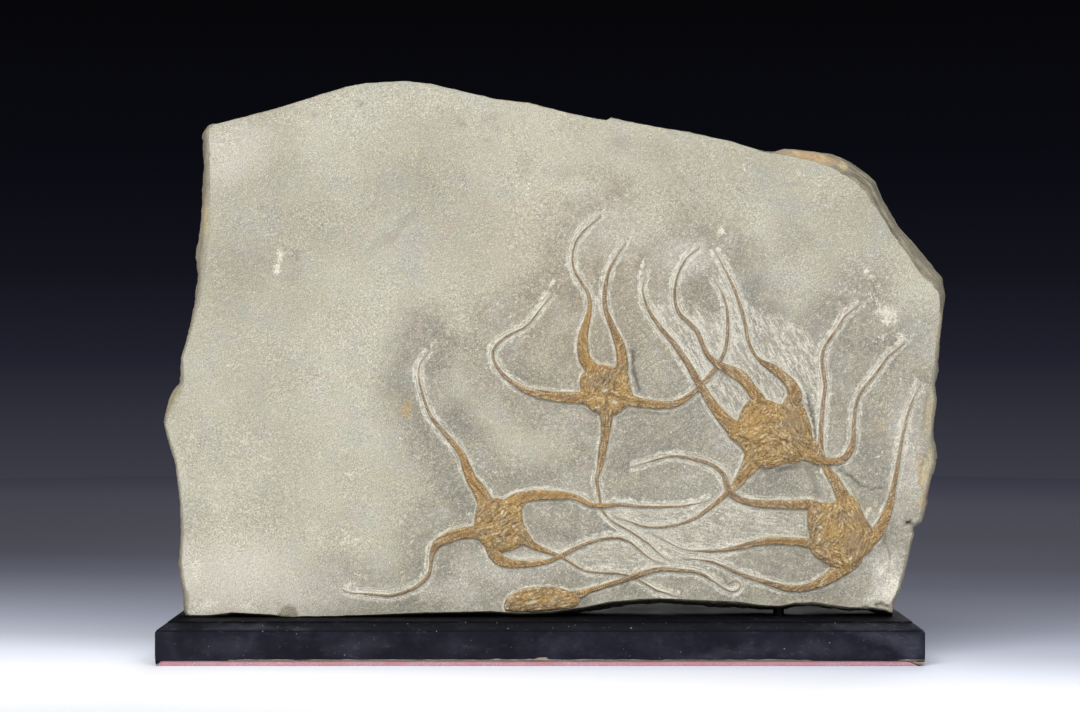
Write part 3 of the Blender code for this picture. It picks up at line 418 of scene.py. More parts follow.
def seeker(points):
    """A tree that finds the nearest of these points, which are 2-D or 3-D."""
    tree = KDTree(len(points))
    for i, point in enumerate(points):
        tree.insert((*point, 0.0)[:3], i)
    tree.balance()
    return tree


def room_in(xz, ring):
    """Distance from each (x, z) to the nearest point of a ring."""
    edge = seeker(ring)
    return np.array([edge.find((x, z, 0))[2] for x, z in xz])


def piece(name, mesh, finish, slot, *nodes):
    """The mesh as a shown piece in place of these solids."""
    item = bpy.data.objects.new(name, mesh)
    bpy.context.scene.collection.objects.link(item)
    mesh.materials.clear()
    mesh.materials.append(finish)
    mesh.shade_smooth()
    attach(item, "root")
    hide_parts(*nodes)


def solid_of(node):
    """The node's solid as a closed bmesh."""
    shape = bmesh.new()
    shape.from_mesh(NODES[node].data)
    bmesh.ops.remove_doubles(shape, verts=shape.verts, dist=0.002 * MM)
    return shape


def finished(name, shape):
    """The bmesh as a mesh whose faces all look outwards."""
    bmesh.ops.recalc_face_normals(shape, faces=shape.faces)
    mesh = bpy.data.meshes.new(name)
    shape.to_mesh(mesh)
    shape.free()
    return mesh


# ---------------------------------------------------------------- fossils

VOXEL = 0.33                      # mm
SUNK = 1.0                        # mm that a star reaches into the stone
PLATE_PITCH = 1.6                 # mm from one arm plate to the next
FURROW = 0.24                     # half width in mm of the furrow along the middle of an arm
TIP_REACH = 45.0                  # mm from the disc, beyond which an arm's end counts as its tip


def fine_star(node):
    """The star as one even mesh, its flat back sunk into the stone."""
    shape = solid_of(node)
    for vertex in shape.verts:
        height = (FACE_Y - vertex.co.y) / MM
        faces_back = vertex.normal.y > 0.3
        if height < 0.5 or (faces_back and height < 1.5):
            vertex.co.y = FACE_Y + SUNK * MM
    for name, x, z, half_length, half_width, lean, rise in WEBS:
        if name == node:
            place = Matrix.Translation(Vector((x * MM, FACE_Y, z * MM)))
            place = place @ Matrix.Rotation(-math.radians(lean), 4, "Y")
            place = place @ Matrix.Diagonal(Vector((half_length, rise, half_width, 1000.0)) * MM)
            bmesh.ops.create_icosphere(shape, subdivisions=3, radius=1.0, matrix=place)
    item = bpy.data.objects.new("star_core", finished(node, shape))
    bpy.context.scene.collection.objects.link(item)
    remesh = item.modifiers.new("even", "REMESH")
    remesh.mode = "VOXEL"
    remesh.voxel_size = VOXEL * MM
    soften = item.modifiers.new("soften", "SMOOTH")
    soften.factor = 0.5
    soften.iterations = 4
    view = bpy.context.evaluated_depsgraph_get()
    mesh = bpy.data.meshes.new_from_object(item.evaluated_get(view))
    bpy.data.objects.remove(item, do_unlink=True)
    return mesh


def evened(values, pairs, rounds):
    """Values averaged with their neighbours' a number of times."""
    weight = np.bincount(pairs.ravel(), minlength=len(values)) + 1.0
    columns = values.reshape(len(values), -1).astype(float)
    for _ in range(rounds):
        total = columns.copy()
        for i in range(columns.shape[1]):
            total[:, i] += np.bincount(pairs[:, 0], columns[pairs[:, 1], i], len(values))
            total[:, i] += np.bincount(pairs[:, 1], columns[pairs[:, 0], i], len(values))
        columns = total / weight[:, None]
    return columns.reshape(values.shape)


def reach_from(points, pairs, start):
    """Distance over the surface from the start points to each vertex, in mm."""
    links = [[] for _ in points]
    spans = np.linalg.norm(points[pairs[:, 0]] - points[pairs[:, 1]], axis=1)
    for (a, b), span in zip(pairs.tolist(), spans.tolist()):
        links[a].append((b, span))
        links[b].append((a, span))
    reach = np.full(len(points), 1e9)
    reach[start] = 0.0
    queue = [(0.0, int(i)) for i in start]
    while queue:
        so_far, i = heapq.heappop(queue)
        if so_far > reach[i]:
            continue
        for j, span in links[i]:
            if so_far + span < reach[j]:
                reach[j] = so_far + span
                heapq.heappush(queue, (reach[j], j))
    return evened(np.minimum(reach, 200.0), pairs, 10)


def way_of_arm(points, reach, pairs):
    """Direction in which each vertex's arm runs, on the face."""
    step = points[pairs[:, 1]] - points[pairs[:, 0]]
    pull = step * ((reach[pairs[:, 1]] - reach[pairs[:, 0]]) / (step ** 2).sum(axis=1))[:, None]
    along = np.zeros_like(points)
    for i in (0, 2):
        along[:, i] = np.bincount(pairs[:, 0], pull[:, i], len(points))
        along[:, i] += np.bincount(pairs[:, 1], pull[:, i], len(points))
    along = evened(along, pairs, 8)
    return along / (np.linalg.norm(along, axis=1)[:, None] + 1e-9)


def way_on_disc(points):
    """Direction in which the disc's fibres run at each vertex, on the face."""
    double = np.zeros((len(points), 2))
    for x, z, lean in FLOWS:
        near = 1 / ((points[:, 0] - x) ** 2 + (points[:, 2] - z) ** 2 + 3.0) ** 2
        double += near[:, None] * (math.cos(2 * math.radians(lean)), math.sin(2 * math.radians(lean)))
    lean = np.arctan2(double[:, 1], double[:, 0]) / 2
    return np.stack([np.cos(lean), np.zeros(len(points)), np.sin(lean)], axis=1)


def combed(points, way, size, length, seed):
    """Noise drawn out along the given directions, so that it lies in fibres; from about -1 to 1."""
    total = np.zeros(len(points))
    for share in np.linspace(-0.5, 0.5, 7):
        total += wander(points + way * share * length, size, seed)
    return total / total.std() * 0.4


def tips_of(reach, pairs):
    """Vertices at the ends of the arms."""
    low = np.where(reach[pairs[:, 0]] < reach[pairs[:, 1]], pairs[:, 0], pairs[:, 1])
    end = reach > TIP_REACH
    end[low] = False
    return np.nonzero(end)[0]


def make_star(node, finish):
    """One brittle star: a fibrous disc with pits and lumps, and arms that thin out into the stone.

    Returns what the slab needs to know of it: see worked_face.
    """
    mesh = fine_star(node)
    points = numbers(mesh.vertices, "co", 3) / MM
    outward = numbers(mesh.vertices, "normal", 3)
    pairs = numbers(mesh.edges, "vertices", 2).astype(int)
    xz = points[:, [0, 2]]
    x, z, radius = DISCS[node]
    from_disc = np.hypot(xz[:, 0] - x, xz[:, 1] - z) - radius
    reach = reach_from(points, pairs, np.nonzero(from_disc < 0)[0])
    along = way_of_arm(points, reach, pairs)
    across = outward[:, 0] * along[:, 2] - outward[:, 2] * along[:, 0]
    on_arm = smooth_step(0.5, 5.0, reach)
    way = way_on_disc(points)
    way *= np.where((way * along).sum(axis=1) < 0, -1, 1)[:, None]
    way += (along - way) * on_arm[:, None]
    ends = seeker(points[tips_of(reach, pairs)])
    tip = 1 - smooth_step(2.5, 11.0, np.array([ends.find(point)[2] for point in points]))
    height = FACE_Y / MM - points[:, 1]
    thick = smooth_step(0.8, 1.9, height)
    near = 1 - smooth_step(22.0, 60.0, reach)
    tints = {kind: np.zeros(len(points)) for kind in ("rust", "pale", "dark", "golden", "dull")}
    lift = np.zeros(len(points))
    bent = strayed(xz, points, 2.4, 41, 0.8)
    for kind, *place, depth in STAR_PATCHES:
        share = blob(bent, place)
        tints[kind] = np.maximum(tints[kind], share)
        lift += depth * share
    for kind, route, half_width, strength, depth in STAR_LINES:
        share = strength * np.exp(-(off_route(bent, route) / half_width) ** 2)
        tints[kind] = np.maximum(tints[kind], share)
        lift += depth * share
    fibres = 0.75 * combed(points, way, 0.6, 1.5, 43) + 0.5 * combed(points, way, 1.2, 3.2, 44)
    fibres = fibres * (1 - 0.7 * on_arm) + 1.3 * combed(points, way, 0.7, 6.0, 48) * on_arm
    plates = np.cos((reach + 0.7 * np.abs(across)) * 2 * math.pi / PLATE_PITCH)
    furrow = np.exp(-(across / FURROW) ** 2) * on_arm * thick * near
    lift += 0.07 * plates * on_arm * (0.25 + thick) - 0.36 * furrow + 0.22 * fibres * (0.35 + 0.65 * thick)
    lift += 0.12 * crumble(points, 0.9, 44) + 0.16 * wander(points, 2.6, 45) * (0.3 + thick)
    lift += (1 - on_arm) * (0.24 * crumble(points, 4.2, 46) + 0.14 * crumble(points, 1.6, 47))
    lift -= 0.7 * tip
    shown = smooth_step(-0.3, 0.3, height)
    points += outward * (lift * shown)[:, None]
    low = 0.78 - 0.3 * smooth_step(14.0, 45.0, reach)
    points[:, 1] += np.maximum(0.0, FACE_Y / MM - points[:, 1]) * (1 - low)
    mesh.vertices.foreach_set("co", (points * MM).ravel())
    mesh.update()
    for name, values in {"reach": reach, "height": height, "furrow": furrow, "tip": tip,
                         "fibres": fibres, **tints}.items():
        paint(mesh, name, values)
    piece(node.replace("brittle_star", "fossil"), mesh, finish, "fossil", node)
    return np.column_stack([points, reach, tip, along[:, [0, 2]]])[height > 0.2]


# ---------------------------------------------------------------- slab

RIM_STEP = 1.0                    # mm between points along the broken edge
# Depths of the side's rings of points behind the face, in mm
SIDE_DEPTHS = (0.0, 0.5, 1.2, 2.2, 3.3, 4.4, 5.5, 6.7, 7.9, 9.1, 10.3, 11.5, 12.8, 14.1, 15.4, 16.7, 18.0,
               19.3, 20.6, 21.9, 23.2, 24.5, 25.8, 27.1, 28.4, 29.6, 30.8, 31.6, 31.97)
BACK_STEP = 2.6                   # mm between points of the back
BACK_SPREAD = 7                   # neighbours on each side over which the back's edge is evened
BACK_INSET = 1.6                  # mm from the last side ring to the back's edge
FACE_STEPS = (0.78, 1.3, 2.2)     # mm between points of the face: by the stars, round them, elsewhere
SHAKE = 0.22                      # most that a grid point is moved, as a share of the grid's step
# Painted light: the scraped band round the stars is painted brighter on the side that faces this way
LIT_SIDE = (-0.6, 0.8)            # way on the face towards the stronger light


def face_outline():
    """Corners of the worked face, in order, in mm."""
    shape = solid_of("stone_slab")
    front = {face for face in shape.faces if all(abs(v.co.y - FACE_Y) < 1e-5 for v in face.verts)}
    after = {}
    for face in front:
        for loop in face.loops:
            if loop.link_loop_radial_next.face not in front:
                after[loop.vert] = loop.link_loop_next.vert
    corner = next(iter(after))
    outline = []
    for _ in range(len(after)):
        outline.append((corner.co.x / MM, corner.co.z / MM))
        corner = after[corner]
    shape.free()
    return np.array(outline)


def walked(outline, step):
    """Points at about even steps round an outline, its corners among them."""
    points = []
    for start, end in zip(outline, np.roll(outline, -1, axis=0)):
        parts = max(1, round(np.linalg.norm(end - start) / step))
        points += [start + (end - start) * i / parts for i in range(parts)]
    return np.array(points)


def outward_of(ring, spread=3):
    """Unit vectors square to a closed ring of points, pointing out of it."""
    run = np.zeros_like(ring)
    for offset in range(1, spread + 1):
        run += np.roll(ring, -offset, axis=0) - np.roll(ring, offset, axis=0)
    square = np.stack([run[:, 1], -run[:, 0]], axis=1)
    square /= np.linalg.norm(square, axis=1)[:, None]
    area = np.sum(ring[:, 0] * np.roll(ring[:, 1], -1) - ring[:, 1] * np.roll(ring[:, 0], -1))
    return square if area > 0 else -square


def side_rings(rim, out):
    """The slab's broken sides as rings of points from the face to the back, in mm."""
    shape = solid_of("stone_slab")
    solid = BVHTree.FromBMesh(shape)
    shape.free()
    rings = []
    for depth in SIDE_DEPTHS[1:]:
        ring = []
        for (x, z), (ox, oz) in zip(rim, out):
            start = Vector((x + 11 * ox, FACE_Y / MM + depth, z + 11 * oz)) * MM
            spot = solid.ray_cast(start, Vector((-ox, 0, -oz)), 26 * MM)[0]
            ring.append((spot.x / MM, depth, spot.z / MM) if spot else (x, depth, z))
        rings.append(np.array(ring))
    return rings


def star_gap():
    """A function that gives the distance on the face from each (x, z) to the nearest star, in mm."""
    shape = bmesh.new()
    for node in DISCS:
        shape.from_mesh(NODES[node].data)
    tree = BVHTree.FromBMesh(shape)
    shape.free()

    def measure(xz, limit):
        found = np.full(len(xz), limit)
        for i, (x, z) in enumerate(xz):
            hit = tree.find_nearest(Vector((x * MM, FACE_Y, z * MM)), limit * MM)
            if hit[3] is not None:
                found[i] = math.sqrt(max(0.0, (hit[3] / MM) ** 2 - 0.09))
        return found

    return measure


def jittered(low, high, step, seed):
    """A shaken triangular grid of points over a rectangle."""
    random = np.random.default_rng(seed)
    columns = np.arange(low[0], high[0], step)
    rows = np.arange(low[1], high[1], step * 0.866)
    x, z = np.meshgrid(columns, rows)
    x = x + (np.arange(len(rows)) % 2)[:, None] * step / 2
    xz = np.stack([x.ravel(), z.ravel()], axis=1)
    return xz + random.uniform(-SHAKE, SHAKE, xz.shape) * step


def near_chalk(xz):
    """True close to a chalky place."""
    places = [(x, z, length + 1.5, width + 1.5, lean, 1.0) for x, z, length, width, lean, _ in CHALK]
    return strongest(xz, places) > 0


def near_groove(xz):
    """True close to a groove, a crack or a chip."""
    places = [(x, z, length + 2, width + 2, lean, 1.0) for x, z, length, width, lean, _ in CHIPS]
    cut = np.min([off_route(xz, route) for route, *_ in GROOVES], axis=0) < 2.0
    return (strongest(xz, places) > 0) | cut


def face_points(rim, measure):
    """Points of the face, closest together beside the stars, and how far each is from the rim."""
    low, high = rim.min(axis=0), rim.max(axis=0)
    chosen = []
    for i, step in enumerate(FACE_STEPS):
        xz = jittered(low, high, step, i + 1)
        xz = xz[inside(xz, rim.tolist())]
        gap = measure(xz, 13.0)
        fine = ((gap < 5.0) & (gap > 0.0)) | near_groove(xz)
        middle = ((gap < 12.0) | near_chalk(xz)) & ~fine
        chosen.append(xz[(fine, middle, ~fine & ~middle)[i]])
    xz = np.concatenate(chosen)
    room = room_in(xz, rim)
    return xz[room > 0.6], room[room > 0.6]


def filled(rim, inner):
    """Triangles that fill the ring through the inner points. The rim's points come first."""
    flat = [Vector(p) for p in np.concatenate([rim, inner])]
    ring = list(range(len(rim)))
    points, _, faces, *_ = delaunay_2d_cdt(flat, list(zip(ring, ring[1:] + ring[:1])), [], 1, 1e-4)
    if len(points) != len(flat):
        raise ValueError("the fill moved or joined points")
    return [tuple(face) for face in faces]


def split_back(last):
    """Points of the split back, an even ring inside the last side ring first, and the faces between them."""
    ring = last[:, [0, 2]]
    shifts = range(-BACK_SPREAD, BACK_SPREAD + 1)
    even = np.mean([np.roll(ring, shift, axis=0) for shift in shifts], axis=0)
    even -= outward_of(even, 6) * BACK_INSET
    grid = jittered(even.min(axis=0), even.max(axis=0), BACK_STEP, 9)
    grid = grid[inside(grid, even.tolist())]
    room = room_in(grid, even)
    grid = grid[room > 1.3]
    room = np.concatenate([np.zeros(len(even)), room[room > 1.3]])
    xz = np.concatenate([even, grid])
    spots = on_face(xz)
    splits = np.abs(crumble(spots, 38.0, 8, 2)) + 0.3 * np.abs(crumble(spots, 11.0, 81, 3))
    splits += 0.22 * np.round(2.0 * wander(spots, 22.0, 82)) / 2.0
    y = SLAB_DEPTH - 0.4 - 1.2 * splits * smooth_step(0.0, 7.0, room)
    return np.stack([xz[:, 0], np.minimum(y, SLAB_DEPTH - 0.03), xz[:, 1]], axis=1), filled(even, grid)


def broken_side(row, depth, out):
    """Roughens one ring of the broken side: coarse steps, thin beds, small chips and crumbling grain."""
    rough = 0.16 * crumble(row, 1.8, 5) + 0.22 * crumble(row, 5.0, 51)
    shelves = crumble(row * (1, 2.4, 1), 9.0, 6)
    rough += 0.55 * np.round(shelves * 2.2) / 2.2 * smooth_step(3.0, 9.0, depth)
    beds = wander(row * (0.1, 1.0, 0.1), 2.4, 58) + 0.7 * wander(row * (0.2, 1.0, 0.2), 5.0, 59)
    rough += (0.5 * beds + 0.45 * wander(row, 3.2, 60)) * smooth_step(5.0, 11.0, depth)
    rough -= 2.6 * np.abs(crumble(row * (1, 1.6, 1), 26.0, 62, 2)) * smooth_step(8.0, 20.0, depth)
    flat_break = 0.35 + 0.65 * smooth_step(9.0, 16.0, off_route(row[:, [0, 2]], BEVEL))
    rough *= smooth_step(0.0, 1.6, depth) * flat_break
    row[:, [0, 2]] += out * rough[:, None]
    under = smooth_step(0.6, 0.9, -out[:, 1]) * smooth_step(31.0, 27.0, depth)
    row[:, 2] -= 1.6 * under * smooth_step(2.5, 9.0, depth)
    row[:, 2] = np.maximum(row[:, 2], BASE_HIGH.z / MM + 0.15)
    return row


def make_slab(finish, bones):
    """The slab: a worked face with the stars' beds in it, crisp broken sides and a rough back."""
    measure = star_gap()
    outline = walked(face_outline(), RIM_STEP)
    out = outward_of(outline, 5)
    corners = on_face(outline)
    nibbled = np.abs(crumble(corners, 2.0, 52)) * 0.6 + np.maximum(0, wander(corners, 6.0, 53)) * 0.8
    below = smooth_step(0.5, 0.85, -out[:, 1])
    rim = outline - outward_of(outline) * (nibbled * (1 - 0.75 * below))[:, None]
    lowest = BASE_HIGH.z / MM + 0.2
    drop = np.interp(outline[:, 0], *np.array(DROPS).T) * below
    rim[:, 1] = np.maximum(rim[:, 1] - drop, np.minimum(rim[:, 1], lowest))
    above = smooth_step(0.7, 0.95, out[:, 1]) * smooth_step(106.0, 98.0, outline[:, 0])
    trimmed = np.maximum(0.8 * above, strongest(outline, TRIMS))[:, None]
    count = len(rim)
    inner, room = face_points(rim, measure)
    front = np.concatenate([rim, inner])
    relief, paints = worked_face(front, measure(front, 40.0), np.concatenate([np.zeros(count), room]), bones)
    rows = [np.stack([front[:, 0], -relief, front[:, 1]], axis=1)]
    for depth, row in zip(SIDE_DEPTHS[1:], side_rings(outline, out)):
        row[:, [0, 2]] += (outline - row[:, [0, 2]]) * trimmed
        row[:, 2] -= drop * smooth_step(8.0, 1.0, depth)
        rows.append(broken_side(row, depth, out))
    back, back_faces = split_back(rows[-1])
    first = sum(len(row) for row in rows)
    points = np.concatenate([*rows, back])
    worked = filled(rim, inner)
    faces = worked + side_faces(count, len(front), len(rows))
    faces += [tuple(first + i for i in reversed(face)) for face in back_faces]
    points[:, 1] += FACE_Y / MM
    mesh = bpy.data.meshes.new("siltstone_slab")
    mesh.from_pydata((points * MM).tolist(), [], faces)
    shape = bmesh.new()
    shape.from_mesh(mesh)
    mesh = finished("siltstone_slab", shape)
    piece("siltstone_slab", mesh, finish, "matrix", "stone_slab")
    rim_edges = (numbers(mesh.edges, "vertices", 2) < count).all(axis=1)
    mesh.attributes.new("sharp_edge", "BOOLEAN", "EDGE").data.foreach_set("value", rim_edges)
    extra = len(points) - len(front)
    for name, values in paints.items():
        paint(mesh, name, np.concatenate([values, np.zeros(extra)]))
    paint(mesh, "broken", np.arange(len(mesh.polygons)) >= len(worked), "FACE")
    loose = strayed(points[:, [0, 2]], points, 4.0, 54, 2.2)
    depth = points[:, 1] - FACE_Y / MM + 0.5 * wander(points, 5.0, 56)
    # Painted shade: the sloping break along BEVEL takes the full side colour right from its edge
    bevel = 1 - smooth_step(6.0, 9.0, off_route(loose, BEVEL))
    deep = np.maximum(bevel, 0.3 + 0.7 * smooth_step(0.2, 2.2, depth))
    deep[first:] = 0.4
    paint(mesh, "deep", deep)
    # Painted shade: the underside is darkened, and so is a narrow band of the top edge just behind the face
    shaded = [np.maximum(below, 0.45 * above * smooth_step(3.0, 1.0, depth)) for depth in SIDE_DEPTHS]
    paint(mesh, "under", np.concatenate([shaded[0], np.zeros(len(inner)), *shaded[1:],
                                         np.zeros(len(back))]))
    for kind in ("rusty", "yellow", "fresh"):
        crust = strongest(loose, [place for name, *place in CRUSTS if name == kind])
        paint(mesh, kind, crust * (1 - 0.75 * smooth_step(9.0, 15.0, depth)))


def side_faces(count, front_count, rings):
    """Quads between the rings. The first ring is the rim, the others follow the face's points."""
    faces = []
    starts = [0] + [front_count + count * i for i in range(rings)]
    for near, far in zip(starts, starts[1:]):
        for i in range(count):
            j = (i + 1) % count
            faces.append((near + i, near + j, far + j, far + i))
    return faces


def worked_face(xz, gap, room, bones):
    """How far each point of the face stands out, in mm, and what the material needs to know there.

    The bones are the stars' points: place, reach along the arm, nearness to its tip and its direction.
    """
    spots = on_face(xz)
    nearest = seeker(bones[:, [0, 2]])
    bone = bones[[nearest.find((x, z, 0))[1] for x, z in xz]]
    run = bone[:, 3]
    away = xz - bone[:, [0, 2]]
    away /= np.linalg.norm(away, axis=1)[:, None] + 1e-6
    past_tip = bone[:, 4] * smooth_step(0.35, 0.8, (away * bone[:, 5:7]).sum(axis=1))
    lit = away @ LIT_SIDE
    outer = smooth_step(14.0, 40.0, run)
    ragged = 0.6 * wander(spots, 2.2, 11) + 0.5 * wander(spots, 6.5, 12)
    width = 0.9 + 1.3 * outer + 0.9 * ragged * (0.4 + 0.6 * outer)
    moat = 1 - smooth_step(0.2 * width, width, gap)
    # Painted light: the scraped band is whiter on the side towards the stronger light
    scraped = (0.88 + 0.22 * lit + 0.45 * wander(spots, 7.0, 23)) * (1 - smooth_step(5.0, 7.0, gap))
    lip = np.exp(-((gap - width) / 0.5) ** 2)
    width -= 3.0 * past_tip
    fields = {"hatched": np.zeros(len(xz)), "raked": np.zeros(len(xz))}
    loose = strayed(xz, spots, 5.0, 13, 1.6)
    for kind, outline in STROKED_FIELDS:
        soft = 0.5 * (inside(loose, outline).astype(float) + inside(loose + (0.7, 0.7), outline))
        fields[kind] = np.maximum(fields[kind], soft)
    crumbs = strayed(xz, spots, 1.5, 15, 0.8)
    chalk = strongest(crumbs, CHALK)
    chip = np.zeros(len(xz))
    dark = np.zeros(len(xz))
    carved = np.zeros(len(xz))
    for *place, depth in CHIPS:
        share = smooth_step(0.3, 0.5, blob(crumbs, (*place, 1.0)))
        chip = np.maximum(chip, share)
        carved += depth * share
    # Painted shade: each groove and crack is darkened along its line
    for route, half_width, depth, darkness in GROOVES:
        share = np.exp(-(off_route(crumbs, route) / half_width) ** 2)
        carved += depth * share
        dark = np.maximum(dark, share * darkness)
    freed = gap + 6 * wander(spots, 26.0, 21) + 3 * wander(spots, 9.0, 22)
    freed = 1 - smooth_step(5.0, 24.0, freed)
    relief = 0.35 * crumble(spots, 60.0, 17) + 0.10 * crumble(spots, 5.0, 18)
    relief += 0.07 * wander(spots, 1.8, 24)
    relief -= 0.14 * moat - 0.14 * lip
    relief -= 0.22 * np.maximum(fields["hatched"], fields["raked"]) * smooth_step(0.3, 1.5, gap)
    relief -= 0.3 * chalk + carved + 0.25 * freed
    relief *= smooth_step(0.0, 1.6, room)
    relief -= 0.6 * chip * (1 - smooth_step(0.0, 1.6, room))
    return relief, {"scraped": np.maximum(0.0, scraped), "halo": width, "gap": gap, "run": run,
                    "chalk": chalk, "smudge": strongest(loose, SMUDGES), "stain": strongest(loose, STAINS),
                    "bleached": strongest(loose, BLEACHED), "dark": dark, "freed": freed, "chip": chip,
                    **fields}


# ---------------------------------------------------------------- base, felt and pins

# Board from its underside up: how far each line stands in from the board's edge, and its height, in mm
BOARD_PROFILE = [(0.7, 2.2), (0.3, 2.35), (0.1, 2.6), (0.05, 3.0),
                 *((0.0, z) for z in (4.5, 6.0, 7.5, 9.0, 10.5, 12.0, 13.4)),
                 (0.05, 14.4), (0.3, 14.62), (0.45, 14.7), (0.5, 14.9), (0.55, 15.1), (0.9, 15.4),
                 (1.8, 16.05), (2.8, 16.75), (3.7, 17.35), (4.3, 17.72), (4.7, 17.86), (4.75, 18.1),
                 (4.8, 18.35), (5.1, 18.55), (5.5, 18.65),
                 *((inset, 18.7) for inset in (6.2, 10.0, 18.0, 28.0))]
CORNER = 1.5                      # mm, radius of the corners of the board and the felt
CORNER_STEPS = 5                  # lengths along each round corner
SIDE_STEPS = (150, 39)            # lengths along each long and each short side
TOES = {1: 8.5, -1: 1.8}          # length in mm of the wedge under each end of the board
# Where hands have rubbed the board pale: x, z, half length, half width, lean in degrees, strength
RUBBED = [
    (-133, 8.4, 16, 5, 0, 0.4), (-77, 9, 16, 4.6, 10, 0.35), (-36, 8, 12, 4, 0, 0.15),
    (8, 8.6, 16, 4, 0, 0.15), (82, 5.4, 26, 3.4, 8, 0.45), (116, 7.6, 22, 5, 0, 0.35),
    (149, 12, 17, 4.4, -14, 0.9), (160, 8, 6, 6, 0, 0.7), (-133, 16.8, 14, 1.8, 0, 0.6),
    (-160, 16.4, 6, 2.2, 0, 0.5), (140, 16.4, 26, 2.4, 0, 0.8), (-122, 16.2, 12, 1.4, 0, 0.8),
    (-104, 15.4, 6, 1, 0, 0.7),
]


def rounded_ring(low, high, z):
    """Points round a rectangle with round corners, in mm, closely spaced along its sides."""
    left, right = low[0] + CORNER, high[0] - CORNER
    front, back = low[1] + CORNER, high[1] - CORNER
    corners = []
    for quarter, (x, y) in enumerate(((right, back), (left, back), (left, front), (right, front))):
        for i in range(CORNER_STEPS + 1):
            turn = math.radians(90 * quarter + 90 * i / CORNER_STEPS)
            corners.append((x + CORNER * math.cos(turn), y + CORNER * math.sin(turn)))
    ring = []
    for i, (x, y) in enumerate(corners):
        quarter, step = divmod(i, CORNER_STEPS + 1)
        count = SIDE_STEPS[quarter % 2] if step == CORNER_STEPS else 1
        next_x, next_y = corners[(i + 1) % len(corners)]
        ring += [(x + (next_x - x) * j / count, y + (next_y - y) * j / count, z) for j in range(count)]
    return np.array(ring)


def lofted(shape, rings):
    """Closed skin through rings of equal length, in mm; the ends are filled."""
    loops = [[shape.verts.new(Vector(point) * MM) for point in ring] for ring in rings]
    for near, far in zip(loops, loops[1:]):
        for i in range(len(near)):
            j = (i + 1) % len(near)
            shape.faces.new((near[i], near[j], far[j], far[i]))
    shape.faces.new(loops[0])
    shape.faces.new(loops[-1])


def make_board(finish):
    """Moulded board: its long edges aren't quite straight, and its paint stops short of the underside."""
    half = np.array([BASE_HIGH.x, BASE_HIGH.y]) / MM + (0.35, 0.0)
    shape = bmesh.new()
    rings = []
    for inset, z in BOARD_PROFILE:
        ring = rounded_ring(-half + inset, half - inset, z)
        worn = 1.0 if 0.5 < inset < 6 and z > 5 else 0.3
        ring[:, 2] += (0.06 * wander(ring, 30.0, 31) + 0.03 * wander(ring, 4.0, 32) - 0.06) * worn
        rings.append(ring)
    lofted(shape, rings)
    for side, length in TOES.items():
        end = half[0]
        section = [(end - length, 2.5), (end - length, 3.3), (end - 0.3, 3.3), (end - 0.25, 1.6),
                   (end - 0.4, 1.0), (end - 1.0, 0.45), (end - length * 0.36, 0.42)]
        lofted(shape, [[(side * x, y, z) for x, z in section] for y in (-half[1] + 0.95, half[1] - 0.95)])
    mesh = finished("display_board", shape)
    points = numbers(mesh.vertices, "co", 3) / MM
    flat = points[:, 2] + 0.06 * wander(points, 9.0, 37)
    # Near-black lines painted along the lower and upper edges of the slope
    paint(mesh, "seam", np.maximum(np.exp(-((flat - 14.9) / 0.3) ** 2), np.exp(-((flat - 18.2) / 0.3) ** 2)))
    # Painted shade: marks the slope and the flat top, which the lacquer paints near black and makes more matt
    top_shade_and_matt = 0.3 * smooth_step(14.7, 15.1, flat) + 0.35 * smooth_step(15.4, 17.8, flat)
    paint(mesh, "top_shade_and_matt", top_shade_and_matt + 0.35 * smooth_step(17.9, 18.3, flat))
    loose = points[:, [0, 2]] + np.stack([wander(points, 9.0, 38), wander(points, 5.0, 39)], axis=1) * 2.0
    paint(mesh, "rubbed", strongest(loose, RUBBED) * (points[:, 1] < -30))
    raw = 1 - smooth_step(2.6, 3.0, points[:, 2] - 0.4 * wander(points, 7.0, 36))
    raw *= smooth_step(-141, -128, points[:, 0]) * (1 - smooth_step(112, 122, points[:, 0])
                                                     + smooth_step(151, 157, points[:, 0]))
    paint(mesh, "raw", raw)
    piece("display_board", mesh, finish, "board", "base_board")
    mesh.set_sharp_from_angle(angle=math.radians(20))


def make_felt(finish):
    """Felt cut with scissors: its edge swells out and wavers, and is fuzzy."""
    low, high = np.array(FELT_LOW) / MM, np.array(FELT_HIGH) / MM
    thickness = high[2] - low[2]
    shape = bmesh.new()
    rings = []
    for share, swell in ((0.0, -0.1), (0.08, 0.05), (0.25, 0.12), (0.5, 0.25), (0.75, 0.25), (0.92, 0.2),
                         (1.0, 0.0)):
        left = low[0] - 1.0 + share * 1.7
        right = high[0] + 1.1 - share * 5.4
        ring = rounded_ring((left - swell, low[1] + 0.3 - swell), (right + swell, high[1] - 0.3 + swell),
                            low[2] - 0.15 + share * (thickness + 0.15))
        out = outward_of(ring[:, :2])
        waver = 0.16 * wander(ring * (1, 1, 3), 9.0, 33) + 0.14 * crumble(ring, 1.6, 34, 2)
        ring[:, :2] += out * waver[:, None]
        ring[:, 2] += 0.1 * share * wander(ring, 14.0, 35)
        rings.append(ring)
    lofted(shape, rings)
    piece("pink_felt", finished("pink_felt", shape), finish, "felt", "felt_underlay")


